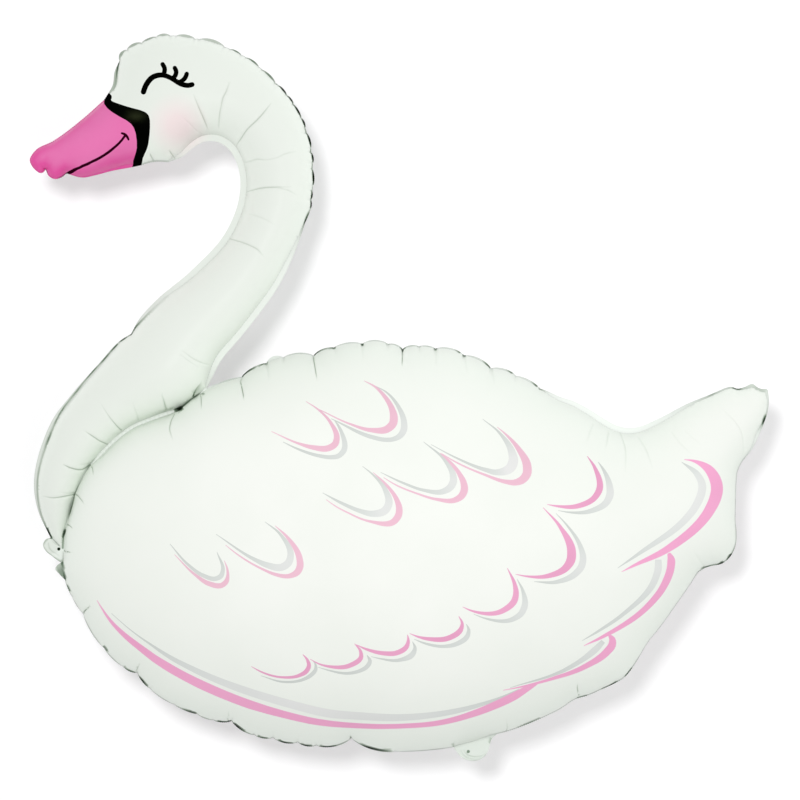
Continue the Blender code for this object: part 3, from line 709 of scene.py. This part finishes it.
def film_creases():
    """Creases as (half width, darkness of their painted shade, line), each line as x, y, depth in metres
    in plan.
    """
    creases = []
    for half_width, dark, drawn in CREASES:
        line = spaced(smooth_line(drawn), CREASE_STEP / PIXEL)
        places = np.column_stack([seen_at(line[:, :2]), np.maximum(line[:, 2], 0) / 1000])
        creases.append((half_width / 1000, dark, places))
    for arcs in (HEAD_ARCS, BACK_ARCS, BELLY_ARCS):
        for before, notch, after in zip(arcs[:-2], arcs[1:-1], arcs[2:]):
            along = np.array(after[:2]) - np.array(before[:2])
            inward = np.array([-along[1], along[0]]) / np.linalg.norm(along)
            depth = min(FOLD_SHARE * max(before[2], notch[2]), DEEPEST_FOLD)
            reach = np.linspace(0, FOLD_LENGTH, 5)[:, None]
            line = np.array(notch[:2]) + inward * reach
            fade = (1 - reach / FOLD_LENGTH) ** 1.5
            places = np.column_stack([seen_at(line), depth * fade])
            creases.append((FOLD_HALF_WIDTH, FOLD_SHADE, places))
    return creases


def dark_lines():
    """Lines of painted shade as (half width, line in metres in plan, line in pixels with its darkness).
    """
    lines = []
    for width, drawn in DARK_LINES:
        line = spaced(smooth_line(drawn), CREASE_STEP / PIXEL)
        lines.append((width / 2, seen_at(line[:, :2]), line))
    return lines


def in_the_picture(points, heights):
    """Where points of the front film show in the photograph, in its pixels."""
    middle = np.array(CAMERA_PLACE[:2])
    flat = middle + (points - middle) * (CAMERA_HEIGHT / (CAMERA_HEIGHT - heights))[:, None]
    return flat / (PIXEL, -PIXEL) + DRAWN_MIDDLE


def rows_beside(line, offsets):
    """Points along the line and beside it."""
    left = sideways(line)
    return np.vstack([line[:, :2] + left * offset for offset in offsets])


def points_within(chamber):
    """Rings of points near the weld, where the film turns fast, and a lattice between them."""
    fine = fine_tree(chamber)
    groups = []
    for depth, step in RINGS:
        ring = moved_in(spaced(closed(chamber), step)[:-1], depth)
        groups.append(ring[nearest(fine, ring)[1] > CLEAR_SHARE * depth])
    low, high = chamber.min(0), chamber.max(0)
    row_height = LATTICE * math.sqrt(3) / 2
    rows = np.arange(math.ceil((high[1] - low[1]) / row_height))
    columns = np.arange(math.ceil((high[0] - low[0]) / LATTICE) + 1)
    across, up = np.meshgrid(columns, rows)
    lattice = np.column_stack([((across + up % 2 / 2) * LATTICE).ravel(), (up * row_height).ravel()])
    lattice = lattice + low
    lattice = lattice[inside(chamber, lattice)]
    groups.append(lattice[nearest(fine, lattice)[1] > RINGS[-1][0] + LATTICE / 2])
    return np.vstack(groups)


def tab_points(loops, tab):
    """A fine lattice over a tab, with rings round its hole."""
    low, high = loops[tab + " tab"].min(0), loops[tab + " tab"].max(0)
    across, up = np.meshgrid(np.arange(low[0], high[0], TAB_STEP), np.arange(low[1], high[1], TAB_STEP))
    lattice = np.column_stack([across.ravel(), up.ravel()])
    lattice = lattice[inside(loops[tab + " tab"], lattice)]
    hole = loops[tab + " hole"]
    middle = hole.mean(0)
    rings = [middle + (hole - middle) * share for share in HOLE_RINGS]
    lattice = np.vstack(rings + [lattice[gap_from(middle, lattice) > TAB_HOLE * HOLE_MARGIN]])
    for chamber in ("neck", "body"):
        lattice = lattice[~inside(loops[chamber], lattice)]
    return clear_of(lattice, np.vstack([loops["neck"], loops["body"]]), TAB_CLEARANCE)


def apart(points, distance):
    """The points with no earlier one in the same small square."""
    _, first = np.unique(np.round(points / distance).astype(int), axis=0, return_index=True)
    return points[np.sort(first)]


def clear_of(points, others, distance):
    return points[nearest(tree_of(others), points)[1] > distance]


def cut_sheet(outline, prints, creases, lines):
    """The flat sheet as triangles, with what each triangle is within."""
    loops = outline.loops
    shapes = {**loops, **prints}
    drawn_points = np.vstack(list(shapes.values()))
    rows = [rows_beside(line, half * np.array(CREASE_ROWS)) for half, _, line in creases]
    rows += [rows_beside(line, np.array([0, -half, half]) * PIXEL) for half, line, _ in lines]
    rows = clear_of(apart(np.vstack(rows), LEAST_GAP), drawn_points, LEAST_GAP)
    rim = [spaced(closed(loops[name + " edge"]), RIM_STEP)[:-1] for name in ("neck", "body")]
    rim_rows = np.vstack([moved_in(line, depth) for line in rim for depth in RIM_DEPTHS])
    rows = np.vstack([rows, clear_of(rim_rows, np.vstack([drawn_points, rows]), LEAST_GAP)])
    seam_rows = np.vstack([moved_in(loops[name], -SEAM_ROW) for name in ("neck", "body")])
    seam_rows = clear_of(seam_rows, np.vstack([drawn_points, rows]), SEAM_CLEARANCE)
    filling = np.vstack([points_within(loops["neck"]), points_within(loops["body"])] +
                        [tab_points(loops, tab) for tab in ("tie", "filling")])
    filling = clear_of(filling, np.vstack(list(prints.values()) + [rows]), CLEARANCE)
    wound = [anticlockwise(loop) for loop in shapes.values()]
    points = np.vstack(wound + [rows, seam_rows, filling])
    faces = []
    first = 0
    for loop in wound:
        faces.append(list(range(first, first + len(loop))))
        first += len(loop)
    sheet = delaunay_2d_cdt([tuple(point) for point in points], [], faces, 1, 1e-7, True)
    names = list(shapes)
    outer = {"neck edge", "body edge", "tie tab", "filling tab"}
    triangles = []
    within = []
    for triangle, sources in zip(sheet[2], sheet[5]):
        found = {names[source] for source in sources}
        if not found & outer:
            continue
        triangles.append(triangle)
        within.append(found)
    triangles = np.array(triangles)
    used, renumbered = np.unique(triangles, return_inverse=True)
    flat = np.array([tuple(point) for point in sheet[0]])[used]
    return flat, renumbered.reshape(-1, 3), within


def film_height(points, triangles, within):
    """How far the gas lifts each point: round across a tube, and less round where it is broad.

    The square of the height falls off evenly from the middle to the weld, as a loaded skin sags,
    and is worked out by conjugate gradients.
    """
    count = len(points)
    neck = np.array(["neck" in found for found in within])
    body = np.array(["body" in found for found in within])
    fullness = np.zeros(count)
    fullness[triangles[body]] = BODY_FULLNESS
    fullness[triangles[neck]] = NECK_FULLNESS
    held = np.zeros(count, dtype=bool)
    held[triangles[~(neck | body)]] = True
    blown = triangles[neck | body]
    corners = points[blown]
    sides = np.roll(corners, 1, axis=1) - np.roll(corners, -1, axis=1)
    area = np.abs(sides[:, 0, 0] * sides[:, 1, 1] - sides[:, 0, 1] * sides[:, 1, 0]) / 2
    area = np.maximum(area, 1e-12)
    load = np.bincount(blown.ravel(), np.repeat(area / 3, 3), count)
    free = (load > 0) & ~held
    starts = np.concatenate([blown[:, a] for a in (0, 1, 2)])
    ends = np.concatenate([blown[:, b] for b in (1, 2, 0)])
    pull = np.concatenate([-(sides[:, a] * sides[:, b]).sum(1) / (4 * area)
                           for a, b in ((0, 1), (1, 2), (2, 0))])
    own = np.bincount(starts, pull, count) + np.bincount(ends, pull, count)
    own = np.where(own > 0, own, 1)

    def spread(sag):
        pulled = pull * (sag[starts] - sag[ends])
        total = np.bincount(starts, pulled, count) - np.bincount(ends, pulled, count)
        return np.where(free, total, 0)

    sag = np.zeros(count)
    rest = np.where(free, load, 0)
    way = rest / own
    power = rest @ way
    target = power * SOLVED_SHARE
    for _ in range(MOST_ROUNDS):
        pushed = spread(way)
        step = power / (way @ pushed)
        sag += step * way
        rest -= step * pushed
        scaled = rest / own
        last = power
        power = rest @ scaled
        if power < target:
            break
        way = scaled + way * power / last
    return fullness * np.sqrt(2 * np.maximum(sag, 0)), held


def point_normals(places, triangles):
    corners = places[triangles]
    faces = np.cross(corners[:, 1] - corners[:, 0], corners[:, 2] - corners[:, 0])
    normals = np.zeros_like(places)
    for corner in range(3):
        for axis in range(3):
            normals[:, axis] += np.bincount(triangles[:, corner], faces[:, axis], len(places))
    return normals / np.maximum(np.linalg.norm(normals, axis=1), 1e-18)[:, None]


def near(points, line, reach):
    """Indices of the points near a line, their distances to it, and its third column there."""
    low = line[:, :2].min(0) - reach
    high = line[:, :2].max(0) + reach
    chosen = np.nonzero(((points > low) & (points < high)).all(1))[0]
    if not len(chosen):
        return chosen, np.zeros(0), np.zeros(0)
    gaps, along = gap_to(line, points[chosen])
    value = np.interp(along, np.arange(len(line)), line[:, 2])
    return chosen[gaps < reach], gaps[gaps < reach], value[gaps < reach]


def crease_depths(points, creases):
    """How deep the creases press the film in, with the small swell beside each of them, and their
    painted shade.
    """
    depths = np.zeros(len(points))
    dark = np.zeros(len(points))
    for half, darkness, line in creases:
        chosen, gaps, depth = near(points, line, half * CREASE_REACH)
        groove = np.exp(-(gaps / half) ** 1.5)
        swell = SWELL_SHARE * np.exp(-((gaps - SWELL_PLACE * half) / (SWELL_HALF * half)) ** 2)
        depths[chosen] += depth * (groove - swell)
        fade = np.clip(depth * 1000 / DARK_DEPTH, 0, 1)
        core = np.exp(-(gaps / half / DARK_HALF) ** 2)
        dark[chosen] = np.maximum(dark[chosen], darkness * fade * core)
    return depths, dark


def seam_ripples(points, held, outline):
    """Small waves that run into the film from the seam, as gathered film has."""
    depths = np.zeros(len(points))
    for name in ("neck", "body"):
        chosen = np.nonzero(inside(outline.loops[name], points) & ~held)[0]
        index, gap = nearest(fine_tree(outline.loops[name]), points[chosen])
        along = index * EDGE_STEP / 4
        swing = along / RIPPLE_LENGTH + 0.35 * np.sin(along / RIPPLE_LENGTH)
        strength = 0.6 + 0.4 * np.sin(along / RIPPLE_SURGE)
        fade = np.exp(-gap / RIPPLE_REACH) * gap / (gap + RIPPLE_START)
        depths[chosen] = RIPPLE_DEPTH * strength * fade * np.sin(2 * math.pi * swing)
    return depths


def seam_lean(points, held, outline):
    """How far each point of the seam hangs below its plane, and how dark its stretch's painted shade is.

    The seam is as wide everywhere, so where it shows narrow from above, it leans away.
    """
    lean = np.zeros(len(points))
    dark = np.zeros(len(points))
    flat = np.nonzero(held)[0]
    index, gap = nearest(tree_of(outline.rim), points[flat])
    widths = np.maximum(outline.rim[index, 2], 0.0003)
    share = np.clip(1 - gap / widths, 0, 1)
    near_rim = gap < widths * 1.25 + 0.0003
    dark[flat] = np.where(near_rim, outline.rim[index, 3], SEAM_SHADE)
    off_tab = np.ones(len(flat))
    for name, (tab_shade, _) in TAB_SHADES.items():
        tab = outline.loops[name + " tab"]
        on_tab = inside(tab, points[flat])
        dark[flat[on_tab]] = tab_shade
        from_tab = nearest(tree_of(tab), points[flat])[1]
        off_tab = np.minimum(off_tab, np.clip(from_tab / TAB_STIFF_REACH, 0, 1))
        off_tab[on_tab] = 0
    hidden = np.sqrt(np.maximum(SEAM_WIDTH ** 2 - widths ** 2, 0))
    lean[flat] = share * off_tab * hidden * HANG_SHARE
    return lean, dark


def rim_shade(seen, outline):
    """The seam's stretches of painted shade, as they show on the film that swells over them."""
    drawn_rim = outline.rim[:, :2] / (PIXEL, -PIXEL) + DRAWN_MIDDLE
    index, gap = nearest(tree_of(drawn_rim), seen)
    reach = outline.rim[index, 2] / PIXEL + RIM_OVERLAP
    return np.clip((reach - gap) / LINE_EDGE, 0, 1) * np.clip(1.3 * outline.rim[index, 3] - 0.16, 0, 1)


def eased(heights, points, held, outline):
    """The heights with the film's foot eased into the seam, most of all by the filling tab."""
    for name in ("neck", "body"):
        blown = np.nonzero(inside(outline.loops[name], points) & ~held)[0]
        gap = nearest(fine_tree(outline.loops[name]), points[blown])[1]
        from_tab = gap_from(outline.loops["filling tab"].mean(0), points[blown])
        nearness = np.exp(-(from_tab / TAB_SOFT_REACH) ** 2)
        heights[blown] *= gap / (gap + SEAM_SOFTNESS * (1 + TAB_SOFTNESS * nearness))
    return heights * (CAD_TOP - SEAM_LEVEL) / heights.max()


def along_weld(points):
    """Indices of the points near the weld, their distances to it, and how far along it they are."""
    line = smooth_line(to_metres(np.array(WELD)[:, :2]))
    steps = np.linalg.norm(np.diff(line, axis=0, prepend=line[:1]), axis=1)
    return near(points, np.column_stack([line, np.cumsum(steps)]), WELD_REACH)


outline = Outline()
FILM_CREASES = film_creases()
LINES = dark_lines()
points, triangles, within = cut_sheet(outline, printed_loops(), FILM_CREASES, LINES)
heights, held = film_height(points, triangles, within)
heights = eased(heights, points, held, outline)
lean, seam_dark = seam_lean(points, held, outline)
depths, crease_dark = crease_depths(points, FILM_CREASES)
lean[held] += depths[held]
depths[held] = 0
depths += seam_ripples(points, held, outline)

# The painted shade of each point: seam, creases, holes and dark lines, one over the other
seen = in_the_picture(points, heights)
shade = np.maximum(np.maximum(seam_dark, crease_dark), rim_shade(seen, outline))
for name, (_, hole_shade) in TAB_SHADES.items():
    shade[gap_from(outline.loops[name + " hole"].mean(0), points) < TAB_HOLE * 0.51] = hole_shade
for half, _, line in LINES:
    chosen, gaps, darkness = near(seen, line, half + LINE_EDGE)
    strength = np.clip((half + LINE_EDGE / 2 - gaps) / LINE_EDGE, 0, 1)
    shade[chosen] += np.maximum(darkness - shade[chosen], 0) * strength

# The painted shade of the weld's beads, and a painted glow for the light that its valley gathers
# from both sides
chosen, gaps, along = along_weld(points)
valley = np.zeros(len(points))
valley[chosen] = sum(glow * np.exp(-(gaps / reach) ** 2) for glow, reach in VALLEY_GLOWS)
valley *= 1 - shade
on_weld = held[chosen] & (gaps < WELD_HALF)
beads = BEAD_SHADE + BEAD_SWING * np.sin(along[on_weld] / WELD_BEAD)
shade[chosen[on_weld]] = np.maximum(shade[chosen[on_weld]], beads)

# What the paints read besides: cheek, the bridge's painted sheen, bill's edge, neck and seam, the
# slope that gets painted light, broad feathers
blush_gap = gap_from(seen_at([BLUSH])[0], points) / PIXEL
painted_sheen_gap = np.linalg.norm((points - seen_at([PAINTED_SHEEN])[0]) * (1, 2), axis=1) / PIXEL
to_neck, to_body = [nearest(tree_of(outline.loops[name]), points)[1] for name in ("neck", "body")]
of_neck = held & (to_neck < to_body)
taut = np.zeros(len(points))
taut[triangles[["neck" in found for found in within]]] = 1
slope = 1 - point_normals(np.column_stack([points, heights]), triangles)[:, 2]
# Painted light: the film paler where it slopes, and the seam paler where it hangs away
steep = np.clip(np.where(held, 1.3 * lean / SEAM_WIDTH, 1.6 * slope), 0, 1)
broad = np.zeros(len(points))
for drawn in UPPER_GREY + EDGE_GREY:
    chosen, _, width = near(seen, smooth_line(drawn), BROAD_REACH)
    broad[chosen] = np.maximum(broad[chosen], (width - BROAD_FROM) / BROAD_SPAN)
POINT_VALUES = {
    "shade": shade, "valley": valley, "broad": broad, "taut": taut, "seam": held, "neck_seam": of_neck,
    "steep": np.where(of_neck, 0, steep),
    "blush": 0.9 * np.clip(1.35 - blush_gap / BLUSH_RADIUS, 0, 1) ** 1.2,
    "sheen": np.exp(-(painted_sheen_gap / PAINTED_SHEEN_RADIUS) ** 2),
    "deep": np.clip(1 - to_neck / PIXEL / BILL_EDGE_REACH, 0, 1) ** 1.6,
    "mirror": 0.3 * (1 - shade),
    "coat": (0.03 + 0.3 * taut) * (1 - shade) ** 2}


def place_sheet(side):
    """The sheet's points in space, for the front (1) or the back (-1)."""
    lift = heights if side > 0 else np.minimum(heights, SEAM_LEVEL - FLOOR_CLEARANCE)
    places = np.column_stack([points, SEAM_LEVEL + side * lift - lean])
    wound = triangles if side > 0 else triangles[:, ::-1]
    normals = point_normals(places, wound)
    pressed = (places[:, 2] < PRESSED_EDGE) & (side < 0)
    inward = np.where(pressed, 0, depths)
    return places + normals * (SHEET_GAP / 2 - inward)[:, None], wound


FRONT_INKS = ["bill", "band", "black", "smile", "edge_pink", "wing_pink", "upper_pink", "edge_grey",
              "grey"]
BACK_INKS = ["bill", "band", "black", "smile", "edge_pink", "edge_grey"]
OVER_THE_BILL = ("band", "smile", "black")


def ink_of(found, inks):
    """The topmost ink on a triangle, as an index into the film's materials, with 0 for bare film."""
    laid = {name.split()[0] for name in found}
    best = 0
    for number, ink in enumerate(inks, 1):
        if ink in laid and (best == 0 or ink in OVER_THE_BILL):
            best = number
    return best


def film_object(name, side, inks):
    """One sheet of film as a mesh with its inks, its shading values and its thickness."""
    places, wound = place_sheet(side)
    # The back sheet keeps the holes' triangles, whose painted shade shows as the dark seen through the
    # front's holes
    kept = [side < 0 or not found & {"tie hole", "filling hole"} for found in within]
    mesh = bpy.data.meshes.new(name)
    mesh.from_pydata(places.tolist(), [], wound[kept].tolist())
    for ink in ["film"] + inks:
        mesh.materials.append(PAINTS[ink])
    sources = [found for found, keep in zip(within, kept) if keep]
    indices = np.array([ink_of(found, inks) for found in sources], dtype=np.int32)
    mesh.polygons.foreach_set("material_index", indices)
    for title, values in POINT_VALUES.items():
        layer = mesh.attributes.new(title, "FLOAT", "POINT")
        layer.data.foreach_set("value", values.astype(np.float32))
    mesh.shade_smooth()
    blown = [bool(found & {"neck", "body"}) for found in sources]
    build = bmesh.new()
    build.from_mesh(mesh)
    for edge in build.edges:
        edge.smooth = len({blown[face.index] for face in edge.link_faces}) < 2
    build.to_mesh(mesh)
    build.free()
    thing = bpy.data.objects.new(name, mesh)
    bpy.context.scene.collection.objects.link(thing)
    shell = thing.modifiers.new("film_thickness", "SOLIDIFY")
    shell.thickness = FILM_THICKNESS
    shell.offset = -1
    return thing


def linear(red, green, blue, lit=BRIGHTNESS):
    """The paint that shows as an sRGB colour of 0 to 255 under the lamps, in linear numbers."""
    def channel(value):
        value /= 255
        return (value / 12.92 if value <= 0.04045 else ((value + 0.055) / 1.055) ** 2.4) / lit
    return (channel(red), channel(green), channel(blue), 1)


class Paint:
    """A Principled material under construction."""

    def __init__(self, name, **settings):
        self.material = bpy.data.materials.new(name)
        self.material.use_nodes = True
        self.nodes = self.material.node_tree.nodes
        self.links = self.material.node_tree.links
        self.shader = self.nodes["Principled BSDF"]
        for socket, value in settings.items():
            self.shader.inputs[socket.replace("_", " ")].default_value = value

    def node(self, kind, **settings):
        made = self.nodes.new("ShaderNode" + kind)
        for key, value in settings.items():
            setattr(made, key, value)
        return made

    def attribute(self, name):
        return self.node("Attribute", attribute_name=name).outputs["Fac"]

    def noise(self, scale, detail):
        made = self.node("TexNoise")
        made.inputs["Scale"].default_value = scale
        made.inputs["Detail"].default_value = detail
        self.links.new(self.node("TexCoord").outputs["Object"], made.inputs["Vector"])
        return made.outputs["Fac"]

    def ramp(self, value, stops):
        made = self.node("ValToRGB")
        elements = made.color_ramp.elements
        while len(elements) < len(stops):
            elements.new(0.5)
        for element, (position, colour) in zip(elements, stops):
            element.position = position
            element.color = colour
        self.links.new(value, made.inputs["Fac"])
        return made.outputs["Color"]

    def mix(self, share, one, other, blend="MIX"):
        made = self.node("Mix", data_type="RGBA", blend_type=blend)
        sockets = [made.inputs["Factor"]] + [s for s in made.inputs if s.type == "RGBA"]
        for socket, source in zip(sockets, (share, one, other)):
            if isinstance(source, (int, tuple)):
                socket.default_value = source
            else:
                self.links.new(source, socket)
        return [s for s in made.outputs if s.type == "RGBA"][0]

    def map_range(self, value, *limits):
        made = self.node("MapRange")
        for socket, number in zip(("From Min", "From Max", "To Min", "To Max"), limits):
            made.inputs[socket].default_value = number
        self.links.new(value, made.inputs["Value"])
        return made.outputs["Result"]

    def feed(self, **sources):
        """Links outputs to the shader's sockets."""
        for socket, source in sources.items():
            self.links.new(source, self.shader.inputs[socket.replace("_", " ")])

    def finish(self, colour, rough=(0.46, 0.56)):
        """The material with its colour, uneven gloss and the film's faint grain."""
        made = self.node("Bump")
        made.inputs["Strength"].default_value = 0.04
        made.inputs["Distance"].default_value = 0.0006
        self.links.new(self.noise(90, 2), made.inputs["Height"])
        self.feed(Base_Color=colour, Roughness=self.map_range(self.noise(35, 4), 0.3, 0.7, *rough),
                  Normal=made.outputs["Normal"])
        return self.material


# Painted shade: what the film's colour is multiplied by, from unshaded to the darkest fold
SHADE_TONES = [(0.0, (1, 1, 1, 1)), (0.25, (0.58, 0.63, 0.57, 1)), (0.55, (0.17, 0.24, 0.17, 1)),
               (1.0, (0.007, 0.012, 0.006, 1))]


def film_paint():
    """White pearl film, greyer on the neck as painted shade, and paler where it slopes or its seam hangs
    away as painted light.

    The cheek blushes, the folds take a painted grey-green shade and lose their gloss, and the valley
    at the weld has a painted glow that stands in for the light that both its sides throw back.
    """
    # The emission is the painted glow in the weld's valley
    paint = Paint("pearl_film", Coat_Roughness=0.26, Emission_Color=linear(200, 210, 198))
    paint.feed(Specular_IOR_Level=paint.attribute("mirror"), Coat_Weight=paint.attribute("coat"),
               Emission_Strength=paint.map_range(paint.attribute("valley"), 0, 1, 0, 0.05))
    patchy = paint.ramp(paint.noise(9, 3), [(0.3, linear(239, 241, 236)), (0.7, linear(243, 244, 240))])
    # Painted shade: the neck greyer than the body's film
    neck = paint.mix(paint.attribute("taut"), patchy, linear(229, 233, 227))
    # Painted light: paler and greener where the film slopes
    slope_lightened = paint.mix(paint.attribute("steep"), neck, linear(249, 255, 247))
    # Painted shade: the neck's seam greyer than the body's
    seam = paint.mix(paint.attribute("neck_seam"), linear(242, 246, 242), linear(233, 237, 232))
    # Painted light: the seam paler where it hangs away
    hang_lightened = paint.mix(paint.attribute("steep"), seam, linear(250, 254, 250))
    with_seam = paint.mix(paint.attribute("seam"), slope_lightened, hang_lightened)
    # Painted shade: the shade attribute multiplied over the film's colour
    bare = paint.mix(1, with_seam, paint.ramp(paint.attribute("shade"), SHADE_TONES), "MULTIPLY")
    return paint.finish(paint.mix(paint.attribute("blush"), bare, linear(241, 222, 224)))


def ink_paint(name, light, dark, gloss=0.3):
    """Printed ink, a little uneven, with painted shade in the folds."""
    paint = Paint(name, Specular_IOR_Level=gloss)
    patchy = paint.ramp(paint.noise(14, 3), [(0.3, linear(*light)), (0.7, linear(*dark))])
    painted_fold_shade = tuple(0.25 * part for part in linear(*dark)[:3]) + (1,)
    return paint.finish(paint.mix(paint.attribute("shade"), patchy, painted_fold_shade))


def grey_paint(name, lift):
    """Silver-grey ink, paler where the feathers are broad, and lifted by a few steps of 255."""
    paint = Paint(name, Specular_IOR_Level=0.3)
    tones = ((0.0, (204, 208, 205)), (0.5, (217, 220, 218)), (1.0, (232, 231, 231)))
    stops = [(place, linear(*[part + lift for part in tone])) for place, tone in tones]
    uneven = paint.map_range(paint.noise(14, 3), 0.3, 0.7, 0, 0.25)
    broad = paint.ramp(paint.attribute("broad"), stops)
    return paint.finish(paint.mix(uneven, broad, linear(212, 216, 213)))


def bill_paint():
    """Bright pink, deeper towards the bill's edge and lighter over its middle."""
    paint = Paint("bill_pink", Specular_IOR_Level=0.12, Coat_Weight=0.03, Coat_Roughness=0.14)
    stops = [(0.0, linear(230, 114, 176)), (0.45, linear(231, 82, 163)), (1.0, linear(233, 68, 158))]
    patches = paint.map_range(paint.noise(16, 4), 0.35, 0.65, 0, 0.35)
    uneven = paint.mix(patches, paint.ramp(paint.attribute("deep"), stops), linear(234, 134, 188))
    # Painted shade: the pink turns dark in the folds
    folds = paint.map_range(paint.attribute("shade"), 0.1, 1, 0, 1)
    return paint.finish(paint.mix(folds, uneven, linear(60, 8, 34)), (0.3, 0.4))


def band_paint():
    """Black, with a faint painted olive sheen, a painted reflection, on the bridge."""
    paint = Paint("band_black", Specular_IOR_Level=0.0)
    plain = paint.ramp(paint.noise(25, 2), [(0.3, linear(1, 2, 1)), (0.7, linear(4, 5, 4))])
    return paint.finish(paint.mix(paint.attribute("sheen"), plain, linear(38, 42, 26)), (0.4, 0.5))


PAINTS = {
    "film": film_paint(),
    "bill": bill_paint(),
    "band": band_paint(),
    "black": ink_paint("eye_black", (0, 1, 0), (4, 5, 3), 0.0),
    "smile": ink_paint("smile_dark", (40, 0, 18), (48, 2, 22), 0.0),
    "edge_pink": ink_paint("belly_pink", (247, 173, 212), (244, 168, 208)),
    "wing_pink": ink_paint("wing_pink", (235, 167, 202), (230, 160, 196)),
    "upper_pink": ink_paint("feather_pink", (237, 192, 210), (233, 186, 205)),
    "edge_grey": grey_paint("belly_grey", 6),
    "grey": grey_paint("feather_grey", 0)}
for name, side, inks, node, slot in (("front_foil_film", 1, FRONT_INKS, "front_film", "front_foil"),
                                     ("back_foil_film", -1, BACK_INKS, "back_film", "back_foil")):
    sheet = film_object(name, side, inks)
    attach(sheet, "root")
    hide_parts(node)

# A white floor in a bright room, a small key lamp from the upper left, a broad fill lamp from the
# right, and a narrow window, the only lamp that the film mirrors:
# (name, size, breadth, power, place, mirrored)
LAMPS = [("key", 0.7, 0.7, 92, (-0.52, 0.64, 4.4), False),
         ("fill", 2.4, 2.4, 19, (3.2, 0.5, 1.9), False),
         ("window", 2, 0.4, 14, (0.95, -0.7, 4.4), True)]
ROOM_LIGHT = 0.61
FLOOR_GLOW = 0.235


def studio():
    bpy.ops.mesh.primitive_plane_add(size=14, location=(0, 0, 0))
    floor = bpy.context.object
    floor.name = "floor"
    paper = Paint("floor_paper", Roughness=1.0, Specular_IOR_Level=0.0, Emission_Strength=FLOOR_GLOW)
    colour = paper.ramp(paper.noise(3, 2), [(0.3, linear(228, 227, 228.6, 1)),
                                            (0.7, linear(229, 228, 229.6, 1))])
    paper.feed(Base_Color=colour, Emission_Color=colour)
    floor.data.materials.append(paper.material)

    world = bpy.data.worlds.new("room")
    bpy.context.scene.world = world
    world.use_nodes = True
    walls = world.node_tree.nodes["Background"].inputs
    walls["Color"].default_value = (0.98, 1.0, 0.98, 1)
    walls["Strength"].default_value = ROOM_LIGHT

    for name, size, breadth, power, place, mirrored in LAMPS:
        light = bpy.data.lights.new(name, "AREA")
        light.shape = "ELLIPSE"
        light.size = size
        light.size_y = breadth
        light.energy = power
        lamp = bpy.data.objects.new(name, light)
        bpy.context.scene.collection.objects.link(lamp)
        lamp.location = place
        lamp.visible_glossy = mirrored
        lamp.rotation_euler = (Vector((0, 0, 0)) - Vector(place)).to_track_quat("-Z", "Y").to_euler()


def photograph_camera():
    lens = bpy.data.cameras.new("camera")
    lens.lens = LENS
    lens.sensor_width = SENSOR
    camera = bpy.data.objects.new("camera", lens)
    bpy.context.scene.collection.objects.link(camera)
    camera.location = CAMERA_PLACE
    bpy.context.scene.camera = camera
    bpy.context.scene.view_settings.view_transform = "Standard"


studio()
photograph_camera()
